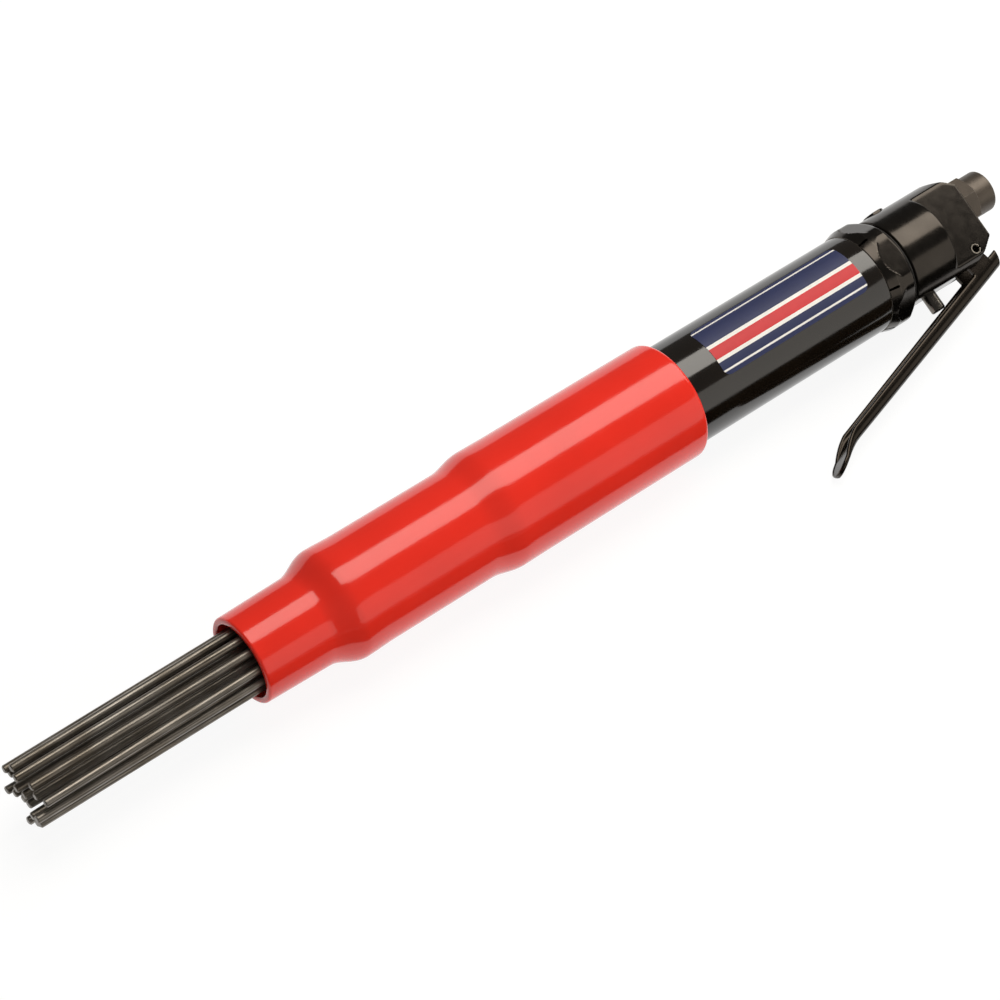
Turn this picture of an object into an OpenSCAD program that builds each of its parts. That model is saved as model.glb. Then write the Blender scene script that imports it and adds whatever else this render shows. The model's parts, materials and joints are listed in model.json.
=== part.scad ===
// In-line air needle scaler. An air hammer in the barrel strikes an anvil, and the anvil
// drives a pack of loose needles out of the stepped front tube. A channel lever under the
// rear head opens the throttle valve. The tool lies on its side, on the large section of the
// tube and on the tip of the lever: X runs from the needles to the air inlet and Z is up.

/* [Needles] */
// Diameter of one needle
needle_d = 3; // [2.8:0.1:3.2]
// Length of one needle over its head
needle_len = 184.5; // [180:0.5:190]
// Diameter of a needle's upset head
needle_head_d = 4.7; // [4.5:0.1:5]
// Length of a needle's upset head
needle_head_len = 3; // [2:0.5:4]
// Distance from one ring of needles to the next
needle_pitch = 5.5; // [5.4:0.1:5.7]
// Free travel of a needle in its holder
needle_slide = 6; // [5:0.5:7]
// Play between a needle and its guide hole, on the radius
needle_play = 0.4; // [0.38:0.01:0.45]
// Thickness of the needle holder
holder_len = 12; // [10:0.5:13]

/* [Front tube] */
// Bore of the mouth
mouth_bore = 28; // [27.6:0.1:28.6]
// Bore of the middle section, in which the needle holder slides
mid_bore = 36.6; // [36.2:0.1:37]
// Wall of the mouth and of the middle section
tube_wall = 2.5; // [2:0.1:3]
// Wall of the large section over the barrel
large_wall = 3; // [2.6:0.1:3.4]
// Length of the mouth section
mouth_len = 26.6; // [22:0.2:30]
// Length of the step behind the mouth
step_one_len = 13.2; // [12:0.2:16]
// Length of the middle section
mid_len = 54.8; // [52:0.2:58]
// Length of the step before the large section
step_two_len = 13.2; // [11:0.2:14]
// Length of the large section
large_len = 83.1; // [80:0.1:86]

/* [Barrel and hammer] */
// Outside diameter of the barrel
barrel_d = 39.7; // [39.2:0.1:40.2]
// Length of barrel that shows between the tube and the nut
barrel_out = 93.6; // [90:0.1:100]
// Length of barrel inside the front tube
barrel_in = 77.1; // [75:0.1:79]
// Wall of the barrel round the piston
barrel_wall = 7.15; // [6.8:0.05:7.4]
// Length of the piston
piston_len = 50; // [45:1:52]
// Stroke of the piston
piston_stroke = 45; // [40:1:46]
// Diameter of the anvil's shank
anvil_d = 16; // [15:0.5:17]
// Diameter of the anvil's head
anvil_head_d = 33; // [32:0.5:34]
// Length of the anvil's head
anvil_head_len = 8.4; // [8:0.1:9]
// Length of the anvil's shank
anvil_shank_len = 46.3; // [45:0.1:47]
// Forward travel of the anvil
anvil_travel = 4; // [3:0.5:5]
// Length of the anvil bush over its flange
bush_len = 40; // [36:1:42]

/* [Coupling nut] */
// Height of the coupling nut over the barrel
nut_stand = 1.45; // [1.2:0.05:1.6]
// Length of the coupling nut
nut_len = 12.4; // [12:0.1:13]
// Number of spanner flats
nut_flats = 6; // [4:1:8]
// Depth of a spanner flat under the nut's outside
nut_flat_depth = 1.6; // [1.2:0.1:1.7]

/* [Rear head] */
// Depth of the rear head's outside below the barrel's
head_step = 0.55; // [0.4:0.05:0.8]
// Length of the rear head behind the seal ring
head_len = 41.3; // [40:0.1:43]
// Length of the flat-sided tongue
tongue_len = 20.7; // [20:0.1:21.5]
// Width of the tongue over its flats
tongue_w = 22.8; // [22:0.1:24]
// Depth of the flat underside below the head's outside
under_flat = 1.4; // [1.2:0.1:1.8]

/* [Lever] */
// Diameter of the roll pin
pin_d = 4.5; // [4:0.1:5]
// Distance from the flat underside to the pin
pin_above_flat = 4.8; // [4.4:0.1:5]
// Distance from the rear end of the head to the pin
pin_from_rear = 9; // [8.8:0.1:9.4]
// Angle between the lever and the tool's axis at rest
lever_angle = 15.4; // [15:0.1:16]
// Width of the lever channel
lever_w = 11.5; // [11:0.1:12]
// Depth of the lever channel
lever_depth = 6.8; // [6.4:0.1:7.2]
// Thickness of the lever's sheet
lever_sheet = 1.9; // [1.7:0.1:2.1]
// Length from the pin to the bend of the spoon tip
lever_len = 91; // [86:0.5:96]
// Distance from the pin to the edge of the channel
lever_drop = 7.1; // [6.8:0.1:7.4]
// Length of lever behind the pin
lever_tail = 10.7; // [10:0.1:11.2]
// Bend radius of the spoon tip
spoon_r = 18.8; // [17:0.1:20.5]
// Bend angle of the spoon tip
spoon_angle = 54; // [48:1:58]

/* [Throttle valve] */
// Diameter of the throttle stem
stem_d = 5.8; // [5.6:0.1:6]
// Length of stem that stands out of the underside
stem_out = 6.9; // [6.6:0.1:7.1]
// Distance from the front of the head to the stem
stem_from_front = 10.4; // [10:0.1:10.8]
// Opening travel of the throttle valve
valve_travel = 2.6; // [2.2:0.1:2.8]
// Diameter of the valve chamber and of its plug
chamber_d = 8.7; // [8.5:0.1:9]

/* [Inlet] */
// Bore of the inlet thread
inlet_bore = 11.44; // [11:0.02:12]
// Depth of the inlet thread
inlet_depth = 12; // [11:0.5:13]
// Distance across the flats of the inlet bush
inlet_hex = 17; // [16.8:0.1:18]
// Length of the hexagon
inlet_hex_len = 7.4; // [6.4:0.2:8.4]
// Diameter of the round collar
inlet_collar_d = 16.6; // [16:0.1:16.8]
// Length of the round collar
inlet_collar_len = 8.6; // [8:0.1:9.4]
// Distance from the tool's axis to the inlet, away from the lever
inlet_offset = 6; // [5.8:0.1:6.4]

/* [Rest] */
// Roll of the lever's plane below the horizontal as the tool lies on its side
rest_roll = 19; // [17:0.5:20]
// Turn of the front tube about its own axis, at which the tool lies steadily on it
tube_turn = 2.4; // [1.2:0.1:2.6]

/* [Hidden] */
$fn = 64;
// Clearances: seated pieces, running fits, gaps at a stop, and the overrun of every cut
seat_fit = 0.03;
run_fit = 0.06;
stop_gap = 0.3;
cut = 1;
// Steps along one rounded stretch of an outline
curve_steps = 10;

// Needle pack, counted from the middle outwards: one, six and twelve
ring_counts = [1, 6, 12];
needle_count = 19;
needle_tip_chamfer = 0.35;
lean_max = 0.7;
// Room under a leaning head when the needle is fully forward
head_lift = needle_head_d * sin(lean_max);
// How far each needle lies back in the holder, as a share of its slide
back_shares = [0.45,
    0.2, 0.7, 0.1, 0.55, 0.3, 0.6,
    0.35, 0.1, 0.75, 0.5, 0.15, 0.4, 0.05, 0.65, 0.25, 0.8, 0.3, 0.5];
// How far each needle leans towards the lever and towards the pin, as shares of the largest lean
lean_lever_shares = [0.2,
    1, 0.2, 0.2, 0.3, 0.25, 0.3,
    0, 0.15, 0.85, 0.15, 0.3, 0.45, 0.4, 0.45, 0.3, 0.1, 0.9, 0.1];
lean_pin_shares = [0.1,
    0, 0.25, -0.25, 0.2, -0.1, 0.15,
    0, -0.25, 0.2, 0.3, -0.2, 0.25, -0.15, 0.2, -0.25, 0.1, 0.25, -0.2];

// Diameters that follow the barrel
piston_bore = barrel_d - 2 * barrel_wall;
nut_d = barrel_d + 2 * nut_stand;
head_d = barrel_d - 2 * head_step;
under_drop = head_d / 2 - under_flat;
pin_drop = under_drop - pin_above_flat;

// Front tube
mouth_r = mouth_bore / 2 + tube_wall;
mouth_flare = 0.5;
mouth_lip_r = 1.1;
mid_r = mid_bore / 2 + tube_wall;
large_r = barrel_d / 2 + seat_fit + large_wall;
crest_one = 0.35;
crest_two = 0.12;
crest_len = 12;
rim_r = 2;
shoulder_lead = 1.4;

// Places along the tool's axis, counted from the front of the large section
x_step_two = -step_two_len;
x_mid_front = x_step_two - mid_len;
x_step_one = x_mid_front - step_one_len;
x_mouth = x_step_one - mouth_len;
x_shoulder = x_mid_front - shoulder_lead;
x_barrel_front = large_len - barrel_in;
x_nut = large_len + barrel_out;
x_anvil_back = x_barrel_front - stop_gap;
x_anvil_front = x_anvil_back - anvil_head_len;
x_anvil_end = x_anvil_back + anvil_shank_len;
x_needle_seat = x_anvil_front - stop_gap - anvil_travel - needle_slide - needle_head_len;
x_holder_front = x_needle_seat - holder_len;
x_holder_mid = x_needle_seat - holder_len / 2;
x_piston = x_anvil_end + stop_gap;
x_needle_tip = x_needle_seat + needle_head_len - needle_len;

// Anvil bush and barrel
bush_flange_len = 4;
bush_flange_stand = 3.3;
bush_flange_d = piston_bore + 2 * bush_flange_stand;
edge_chamfer = 0.8;
anvil_nose_chamfer = 2;
piston_groove = 0.5;
piston_groove_w = 3;
piston_groove_shares = [0.2, 0.5, 0.8];
neck_wall = 3;
neck_len = 8.5;
neck_step = 1.85;
neck_d = barrel_d - 2 * neck_step;

// Distribution valve behind the piston
chest_d = neck_d - 2 * neck_wall;
chest_front_len = 8;
chest_room = 4.6;
chest_recess_len = 2.8;
chest_rim = 2.5;
chest_recess_d = chest_d - 2 * chest_rim;
chest_port_d = 8;
disc_gap = 0.5;
disc_d = chest_recess_d - 2 * disc_gap;
disc_len = 1.6;
disc_travel = 0.6;
dowel_d = 2;
dowel_len = 10;
dowel_ring_d = (chest_d + chest_recess_d) / 2;
x_chest = x_piston + piston_len + piston_stroke + chest_room;
x_recess = x_chest + chest_front_len - chest_recess_len;
x_chest_rear = x_chest + chest_front_len;
x_neck_end = x_nut + neck_len;
x_disc = x_recess + (chest_recess_len - disc_len - disc_travel) / 2;

// Coupling nut and head seal
nut_front_chamfer_len = 4.2;
nut_front_chamfer = 1.3;
nut_rear_chamfer = 1.5;
nut_lip_len = 1.9;
nut_slit_w = 0.6;
nut_slit_depth = 0.9;
nut_flat_r = nut_d / 2 - nut_flat_depth;
seal_ring_len = 1.6;
seal_ring_in = 0.7;
head_neck_stand = 0.5;
head_neck_d = chest_d + 2 * head_neck_stand;
x_nut_end = x_nut + nut_len;
x_lip = x_nut_end - nut_lip_len;
x_head = x_nut_end + seal_ring_len;
x_head_end = x_head + head_len;
x_tongue = x_head_end - tongue_len;

// Rear corners of the head: how much of the end and of the side each chamfer takes
top_chamfer_len = 9.5;
top_chamfer_drop = 7.2;
low_chamfer_len = 9;
low_chamfer_drop = 6.5;
head_edge = 0.7;

// Throttle valve, measured along the stem from the tool's axis towards the lever
x_stem = x_head + stem_from_front;
stem_end = under_drop + stem_out;
stem_tip_r = 0.9;
seat_len = 3;
seat_wall = 1.15;
seat_step = 0.75;
poppet_d = 7.6;
poppet_len = 4;
poppet_spigot_d = 3.4;
poppet_spigot_len = 2.6;
annulus_end = 8;
outlet_d = 5;
outlet_drop = 5.4;
plug_len = 6;
plug_proud = 0.5;
plug_socket = 4;
plug_socket_len = 3;
stem_seal_d = 1;
stem_seal_drop = 12;
plug_top = head_d / 2 + plug_proud;
plug_inner = plug_top - plug_len;

// Inlet bush and strainer
inlet_shank_d = 10.8;
inlet_shank_len = 10;
inlet_through_d = 8;
strainer_wall = 0.5;
strainer_len = 10;
strainer_lip_d = 9.6;
strainer_lip_len = 0.8;
inlet_chamfer = 0.6;
x_hex_end = x_head_end + inlet_hex_len;
x_inlet = x_hex_end + inlet_collar_len;
x_thread = x_inlet - inlet_depth;
x_strainer_lip = x_thread - strainer_lip_len - stop_gap / 2;
x_shank = x_head_end - inlet_shank_len;

// Lever, in its own frame: the pin is the origin, x runs to the tip and y away from the tool
x_pin = x_head_end - pin_from_rear;
ear_r = 5.4;
ear_gap = 0.4;
ear_gusset = 7.6;
slot_lead = 5;
spine_r = 3.2;
tail_cut = 3.6;
pad_d = 5;
pad_below_edge = 1.2;
slot_w = lever_w + 2 * ear_gap;
spine_y = lever_drop + lever_depth;
floor_y = spine_y - lever_sheet;
spoon_y = lever_drop + spoon_r;
spine_bend_r = spoon_r - lever_depth;
tip_x = lever_len + spine_bend_r * sin(spoon_angle);
tip_y = spoon_y - spine_bend_r * cos(spoon_angle);
tip_drop = pin_drop + tip_x * sin(lever_angle) + tip_y * cos(lever_angle);
pad_y = lever_drop + pad_below_edge;
// Pad half way between the places where the stem meets it with the lever open and shut
pad_x = (x_pin - x_stem) / cos(lever_angle) + pad_y * tan(lever_angle) / 2;
// Edge of the spoon tip, as shares of its bend angle and of the channel's depth
toe_shares = [[0.42, 1.03], [0.755, 0.935], [1, 0.7]];

// Springs: wire, mean coil diameter and turns
return_wire = 2.4;
return_mean_d = 31;
return_turns = 5;
valve_wire = 0.9;
valve_mean_d = 5.6;
valve_turns = 5;
coil_rings = 8;
coil_sides = 6;

// Resting place of the tool: middle of its box over the floor
x_middle = (x_needle_tip + min(back_shares) * needle_slide + head_lift + x_inlet) / 2;
y_middle = (large_r - tip_drop * cos(rest_roll) - lever_w / 2 * sin(rest_roll)) / 2;

needle_names = [for (i = [1:needle_count]) str("needle_", i < 10 ? "0" : "", i)];

// Points of an arc about (cx, cy), from angle a to angle b
function arc(cx, cy, r, a, b) =
    [for (i = [0:curve_steps]) let (t = a + (b - a) * i / curve_steps) [cx + r * cos(t), cy + r * sin(t)]];

// Points of an S-shaped change of radius along the axis
function s_step(xa, xb, ra, rb) =
    [for (i = [0:curve_steps]) let (u = i / curve_steps)
        [ra + (rb - ra) * (1 - cos(180 * u)) / 2, xa + (xb - xa) * u]];

// Place of needle i across the axis: which ring it is in and its angle there
function ring_start(k) = k == 0 ? 0 : ring_start(k - 1) + ring_counts[k - 1];
function ring_of(i) = i < ring_start(1) ? 0 : i < ring_start(2) ? 1 : 2;
function needle_angle(i) = (i - ring_start(ring_of(i))) * 360 / ring_counts[ring_of(i)];
function needle_place(i) =
    needle_pitch * ring_of(i) * [-cos(needle_angle(i)), sin(needle_angle(i))];

// Lays the tool on its side over the floor
module laid() {
    translate([-x_middle, -y_middle, large_r]) rotate([rest_roll, 0, 0]) children();
}

// Turns an outline of [radius, place] points about the tool's axis
module turned(points) {
    rotate([0, 90, 0]) rotate_extrude() polygon(points);
}

// Round bar along the tool's axis from xa to xb
module bar(d, xa, xb) {
    translate([xa, 0, 0]) rotate([0, 90, 0]) cylinder(d = d, h = xb - xa);
}

// Round bar towards the lever, from drop a to drop b
module post(d, a, b) {
    translate([0, -a, 0]) rotate([90, 0, 0]) cylinder(d = d, h = b - a);
}

// Spring as one tube wound about Z, standing between two flat seats
module spring(wire, mean_d, turns, length) {
    last = turns * coil_rings;
    climb = length - wire;
    spine = [for (i = [0:last]) let (t = 360 * i / coil_rings)
        [mean_d / 2 * cos(t), mean_d / 2 * sin(t), wire / 2 + climb * i / last]];
    rings = [for (i = [0:last]) let (t = 360 * i / coil_rings) for (k = [0:coil_sides - 1])
        let (s = 360 * k / coil_sides)
            spine[i] + wire / 2 * [cos(s) * cos(t), cos(s) * sin(t), sin(s)]];
    sides = [for (i = [0:last - 1]) for (k = [0:coil_sides - 1])
        let (a = i * coil_sides + k, b = i * coil_sides + (k + 1) % coil_sides)
            each [[a, a + coil_sides, b], [b, a + coil_sides, b + coil_sides]]];
    near_end = [for (k = [1:coil_sides - 2]) [0, k, k + 1]];
    far = last * coil_sides;
    far_end = [for (k = [1:coil_sides - 2]) [far, far + k + 1, far + k]];
    gaps = [for (i = [0:last - coil_rings]) norm(spine[i + coil_rings] - spine[i]) - wire];
    echo(least_gap_between_turns = min(gaps));
    polyhedron(rings, concat(sides, near_end, far_end));
}

// Red stepped tube with an S-shaped step before each larger section
module front_tube() {
    outside = concat(
        arc(mouth_r - mouth_lip_r, x_mouth + mouth_lip_r, mouth_lip_r, -90, 0),
        s_step(x_step_one, x_mid_front, mouth_r + mouth_flare, mid_r + crest_one),
        s_step(x_mid_front, x_mid_front + crest_len, mid_r + crest_one, mid_r),
        s_step(x_step_two, 0, mid_r, large_r + crest_two),
        s_step(0, crest_len, large_r + crest_two, large_r),
        arc(large_r - rim_r, large_len - rim_r, rim_r, 0, 90));
    inside = [
        [barrel_d / 2 + seat_fit, large_len],
        [barrel_d / 2 + seat_fit, x_barrel_front],
        [mid_bore / 2, x_barrel_front],
        [mid_bore / 2, x_shoulder],
        [mouth_bore / 2, x_shoulder],
        [mouth_bore / 2, x_mouth]];
    color("firebrick") laid() rotate([tube_turn, 0, 0]) turned(concat(outside, inside));
}

// Hammer cylinder, with a seat for the bush in front and for the valve chest behind
module barrel() {
    color("black") laid() turned([
        [bush_flange_d / 2 + seat_fit, x_barrel_front],
        [barrel_d / 2, x_barrel_front],
        [barrel_d / 2, x_nut],
        [neck_d / 2, x_nut],
        [neck_d / 2, x_neck_end],
        [chest_d / 2 + seat_fit, x_neck_end],
        [chest_d / 2 + seat_fit, x_chest],
        [piston_bore / 2, x_chest],
        [piston_bore / 2, x_barrel_front + bush_flange_len],
        [bush_flange_d / 2 + seat_fit, x_barrel_front + bush_flange_len]]);
}

module anvil_bush() {
    x_flange = x_barrel_front + bush_flange_len;
    x_end = x_barrel_front + bush_len;
    color("goldenrod") laid() turned([
        [anvil_d / 2 + run_fit, x_barrel_front],
        [bush_flange_d / 2, x_barrel_front],
        [bush_flange_d / 2, x_flange],
        [piston_bore / 2 - seat_fit, x_flange],
        [piston_bore / 2 - seat_fit, x_end],
        [anvil_d / 2 + run_fit, x_end]]);
}

// Striker: its head faces the needle heads and its shank faces the piston
module anvil() {
    color("slategray") laid() turned([
        [0, x_anvil_front],
        [anvil_head_d / 2 - anvil_nose_chamfer, x_anvil_front],
        [anvil_head_d / 2, x_anvil_front + anvil_nose_chamfer],
        [anvil_head_d / 2, x_anvil_back],
        [anvil_d / 2, x_anvil_back],
        [anvil_d / 2, x_anvil_end - edge_chamfer],
        [anvil_d / 2 - edge_chamfer, x_anvil_end],
        [0, x_anvil_end]]);
}

// Hammer piston with oil grooves
module piston() {
    r = piston_bore / 2 - run_fit;
    x_end = x_piston + piston_len;
    color("lightslategray") laid() difference() {
        turned([
            [0, x_piston],
            [r - edge_chamfer, x_piston],
            [r, x_piston + edge_chamfer],
            [r, x_end - edge_chamfer],
            [r - edge_chamfer, x_end],
            [0, x_end]]);
        for (share = piston_groove_shares) {
            x = x_piston + share * piston_len - piston_groove_w / 2;
            turned([
                [r - piston_groove, x],
                [r + cut, x],
                [r + cut, x + piston_groove_w],
                [r - piston_groove, x + piston_groove_w]]);
        }
    }
}

// Dowel that keeps the two chest halves in line, with a given extra on its diameter
module dowel(extra) {
    x = x_chest_rear - dowel_len / 2;
    translate([0, dowel_ring_d / 2, 0]) bar(dowel_d + extra, x, x + dowel_len);
}

module chest_front() {
    color("dimgray") laid() difference() {
        bar(chest_d, x_chest, x_chest_rear);
        bar(chest_recess_d, x_recess, x_chest_rear + cut);
        bar(chest_port_d, x_chest - cut, x_chest_rear);
        dowel(2 * seat_fit);
    }
}

module chest_rear() {
    color("gray") laid() difference() {
        bar(chest_d, x_chest_rear, x_neck_end);
        bar(chest_port_d, x_chest_rear - cut, x_neck_end + cut);
        dowel(2 * seat_fit);
    }
}

module chest_dowel() {
    color("silver") laid() dowel(0);
}

// Flap that sends the air to one end of the piston or the other
module valve_disc() {
    color("silver") laid() bar(disc_d, x_disc, x_disc + disc_len);
}

// Round nut with spanner flats, and short slits in its front chamfer between them
module coupling_nut() {
    r = nut_d / 2;
    turn = 360 / nut_flats;
    color("#2a2a2a") laid() difference() {
        turned([
            [neck_d / 2 + seat_fit, x_nut],
            [r - nut_front_chamfer, x_nut],
            [r, x_nut + nut_front_chamfer_len],
            [r, x_nut_end - nut_rear_chamfer],
            [r - nut_rear_chamfer, x_nut_end],
            [head_neck_d / 2 + seat_fit, x_nut_end],
            [head_neck_d / 2 + seat_fit, x_lip],
            [neck_d / 2 + seat_fit, x_lip]]);
        for (i = [0:nut_flats - 1]) {
            rotate([i * turn, 0, 0])
                translate([x_nut + nut_front_chamfer_len, -r, nut_flat_r])
                    cube([nut_len, nut_d, r]);
            rotate([(i + 1 / 2) * turn, 0, 0])
                translate([x_nut - cut, -nut_slit_w / 2, r - nut_front_chamfer - nut_slit_depth])
                    cube([nut_front_chamfer_len + cut, nut_slit_w, r]);
        }
    }
}

module head_seal() {
    r = head_d / 2 - seal_ring_in;
    color("#151515") laid() turned([
        [head_neck_d / 2 + seat_fit, x_nut_end],
        [r, x_nut_end],
        [r, x_head],
        [head_neck_d / 2 + seat_fit, x_head]]);
}

// Solid of the head before it is drilled: flange, neck, round part and flat-sided tongue
module head_blank() {
    r = head_d / 2;
    difference() {
        turned([
            [0, x_neck_end],
            [neck_d / 2 - seat_fit, x_neck_end],
            [neck_d / 2 - seat_fit, x_lip],
            [head_neck_d / 2, x_lip],
            [head_neck_d / 2, x_head],
            [r - head_edge, x_head],
            [r, x_head + head_edge],
            [r, x_head_end],
            [0, x_head_end]]);
        for (side = [0, 1])
            mirror([0, 0, side])
                translate([x_tongue, -head_d, tongue_w / 2]) cube([head_d, 2 * head_d, head_d]);
        translate([x_head - cut, -under_drop - head_d, -head_d])
            cube([head_len + 2 * cut, head_d, 2 * head_d]);
        translate([0, 0, -head_d]) linear_extrude(2 * head_d) {
            polygon([[x_head_end - top_chamfer_len, r + cut], [x_head_end + cut, r + cut],
                [x_head_end + cut, r - top_chamfer_drop], [x_head_end, r - top_chamfer_drop],
                [x_head_end - top_chamfer_len, r]]);
            polygon([[x_head_end - low_chamfer_len, -under_drop - cut], [x_head_end + cut, -under_drop - cut],
                [x_head_end + cut, low_chamfer_drop - under_drop], [x_head_end, low_chamfer_drop - under_drop],
                [x_head_end - low_chamfer_len, -under_drop]]);
        }
    }
}

// Throttle head: clevis slot for the lever, valve chamber, air ways and inlet thread
module rear_head() {
    slot_front = x_pin - ear_r - ear_gap - slot_lead;
    slot_top = pin_drop - ear_r - ear_gap;
    color("#303030") laid() difference() {
        head_blank();
        translate([slot_front, -under_drop - cut, -slot_w / 2])
            cube([head_len, under_drop + cut - slot_top, slot_w]);
        translate([x_pin, -pin_drop, -tongue_w])
            cylinder(d = pin_d + 2 * seat_fit, h = 2 * tongue_w);
        translate([x_stem, 0, 0]) {
            post(chamber_d + 2 * seat_fit, -head_d, seat_len);
            post(chamber_d - 2 * seat_step, seat_len - cut, annulus_end);
            post(stem_d + 2 * run_fit, annulus_end - cut, under_drop + cut);
            post(stem_d + 2 * run_fit + 2 * stem_seal_d, stem_seal_drop - stem_seal_d / 2 - seat_fit,
                stem_seal_drop + stem_seal_d / 2 + seat_fit);
        }
        translate([0, -outlet_drop, 0]) bar(outlet_d, x_neck_end - cut, x_stem);
        translate([0, inlet_offset, 0]) {
            bar(inlet_through_d, x_stem, x_head_end);
            bar(inlet_shank_d + 2 * seat_fit, x_shank, x_head_end + cut);
        }
    }
}

module inlet_bush() {
    r = inlet_collar_d / 2;
    color("#4a4a4a") laid() translate([0, inlet_offset, 0]) difference() {
        union() {
            bar(inlet_shank_d, x_shank, x_head_end + cut);
            translate([x_head_end, 0, 0]) rotate([0, 90, 0])
                cylinder(d = inlet_hex / cos(30), h = inlet_hex_len, $fn = 6);
            turned([
                [0, x_hex_end - cut],
                [r, x_hex_end - cut],
                [r, x_inlet - inlet_chamfer],
                [r - inlet_chamfer, x_inlet],
                [0, x_inlet]]);
        }
        bar(inlet_bore, x_thread, x_inlet + cut);
        bar(strainer_lip_d + 2 * seat_fit, x_strainer_lip, x_thread + cut / 2);
        bar(inlet_through_d, x_shank - cut, x_inlet);
    }
}

// Cup of fine mesh, held by its lip at the bottom of the inlet thread
module inlet_strainer() {
    r = inlet_through_d / 2 - seat_fit;
    x_cup = x_strainer_lip - strainer_len;
    color("silver") laid() translate([0, inlet_offset, 0]) turned([
        [0, x_cup],
        [r, x_cup],
        [r, x_strainer_lip],
        [strainer_lip_d / 2, x_strainer_lip],
        [strainer_lip_d / 2, x_strainer_lip + strainer_lip_len],
        [r - strainer_wall, x_strainer_lip + strainer_lip_len],
        [r - strainer_wall, x_cup + strainer_wall],
        [0, x_cup + strainer_wall]]);
}

// Section of the lever channel: [depth, width], with a rounded spine and an open edge
module channel_section() {
    inner_w = lever_w - 2 * lever_sheet;
    difference() {
        union() {
            translate([lever_drop, -lever_w / 2]) square([lever_depth - spine_r, lever_w]);
            translate([lever_drop, spine_r - lever_w / 2]) square([lever_depth, lever_w - 2 * spine_r]);
            for (side = [-1, 1])
                translate([spine_y - spine_r, side * (lever_w / 2 - spine_r)]) circle(r = spine_r);
        }
        translate([lever_drop - cut, -inner_w / 2]) square([lever_depth - lever_sheet + cut, inner_w]);
    }
}

// Tip of the lever: the channel bent away from the tool, with a round end and lower walls there
module spoon() {
    toe = [for (share = toe_shares) [lever_len, spoon_y] + (spine_bend_r + share[1] * lever_depth)
        * [sin(share[0] * spoon_angle), -cos(share[0] * spoon_angle)]];
    difference() {
        translate([lever_len, spoon_y, 0]) rotate([0, 0, -90]) rotate_extrude(angle = spoon_angle)
            translate([spoon_y, 0]) mirror([1, 0]) channel_section();
        translate([0, 0, -lever_w]) linear_extrude(2 * lever_w)
            polygon(concat(toe, [[lever_len + 2 * spoon_r, toe[2][1]], [lever_len + 2 * spoon_r, -spoon_r],
                [toe[0][0], -spoon_r]]));
        translate([lever_len, spoon_y, 0]) rotate([0, 0, spoon_angle]) rotate([90, 0, 0])
            linear_extrude(2 * spoon_r) difference() {
                translate([-lever_w / 2, -lever_w]) square([lever_w, 2 * lever_w]);
                translate([-lever_w / 2, 0]) circle(d = lever_w);
            }
    }
}

// One ear of the lever, seen from its side
module ear_outline() {
    difference() {
        union() {
            circle(r = ear_r);
            translate([-ear_r, 0]) square([2 * ear_r, lever_drop + spine_r]);
            polygon([[0, 0], [ear_r, 0], [ear_r + ear_gusset, lever_drop],
                [ear_r + ear_gusset, lever_drop + spine_r], [0, lever_drop + spine_r]]);
        }
        circle(d = pin_d + 2 * run_fit);
    }
}

// Channel lever with two ears for the pin, a pressed pad under the stem and a spoon tip
module throttle_lever() {
    color("#262626") laid() translate([x_pin, -pin_drop, 0]) rotate([0, 0, 180 + lever_angle]) {
        difference() {
            translate([-lever_tail, 0, 0]) rotate([90, 0, 90]) linear_extrude(lever_tail + lever_len)
                channel_section();
            translate([0, 0, -lever_w]) linear_extrude(2 * lever_w)
                polygon([[-lever_tail, lever_drop], [tail_cut - lever_tail, spine_y],
                    [tail_cut - lever_tail, spine_y + cut], [-lever_tail - cut, spine_y + cut],
                    [-lever_tail - cut, lever_drop]]);
        }
        for (side = [-1, 1])
            translate([0, 0, side * (lever_w - lever_sheet) / 2 - lever_sheet / 2])
                linear_extrude(lever_sheet) ear_outline();
        translate([pad_x, pad_y, 0]) rotate([-90, 0, 0]) cylinder(d = pad_d, h = floor_y - lever_drop);
        spoon();
    }
}

// Roll pin: a split tube that grips the cheeks of the clevis
module lever_pin() {
    pin_wall = pin_d / 5;
    color("silver") laid() translate([x_pin, -pin_drop, -tongue_w / 2]) difference() {
        cylinder(d = pin_d, h = tongue_w);
        translate([0, 0, -cut]) cylinder(d = pin_d - 2 * pin_wall, h = tongue_w + 2 * cut);
        translate([0, -pin_wall / 2, -cut]) cube([pin_d, pin_wall, tongue_w + 2 * cut]);
    }
}

// Push stem with a rounded end
module throttle_stem() {
    r = stem_d / 2;
    outline = concat([[0, 0], [r, 0]],
        arc(r - stem_tip_r, stem_end - stem_tip_r, stem_tip_r, 0, 90), [[0, stem_end]]);
    color("silver") laid() translate([x_stem, 0, 0]) rotate([90, 0, 0]) rotate_extrude() polygon(outline);
}

// Poppet on the inner end of the stem, with a spigot for the spring
module throttle_valve() {
    color("darkgoldenrod") laid() translate([x_stem, 0, 0]) {
        post(poppet_d, -poppet_len, -seat_fit);
        post(poppet_spigot_d, -poppet_len - poppet_spigot_len, -poppet_len);
        post(stem_d, -seat_fit, 0);
    }
}

module valve_seat() {
    color("goldenrod") laid() translate([x_stem, 0, 0]) difference() {
        post(chamber_d, 0, seat_len);
        post(chamber_d - 2 * seat_wall, -cut, seat_len + cut);
    }
}

module valve_spring() {
    color("silver") laid() translate([x_stem, poppet_len, 0]) rotate([-90, 0, 0])
        spring(valve_wire, valve_mean_d, valve_turns, plug_inner - poppet_len);
}

// Screwed plug that closes the valve chamber, with a key socket
module valve_plug() {
    color("#1c1c1c") laid() translate([x_stem, 0, 0]) difference() {
        post(chamber_d, -plug_top, -plug_inner);
        translate([0, plug_top + cut, 0]) rotate([90, 0, 0])
            cylinder(d = plug_socket / cos(30), h = plug_socket_len + cut, $fn = 6);
    }
}

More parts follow.
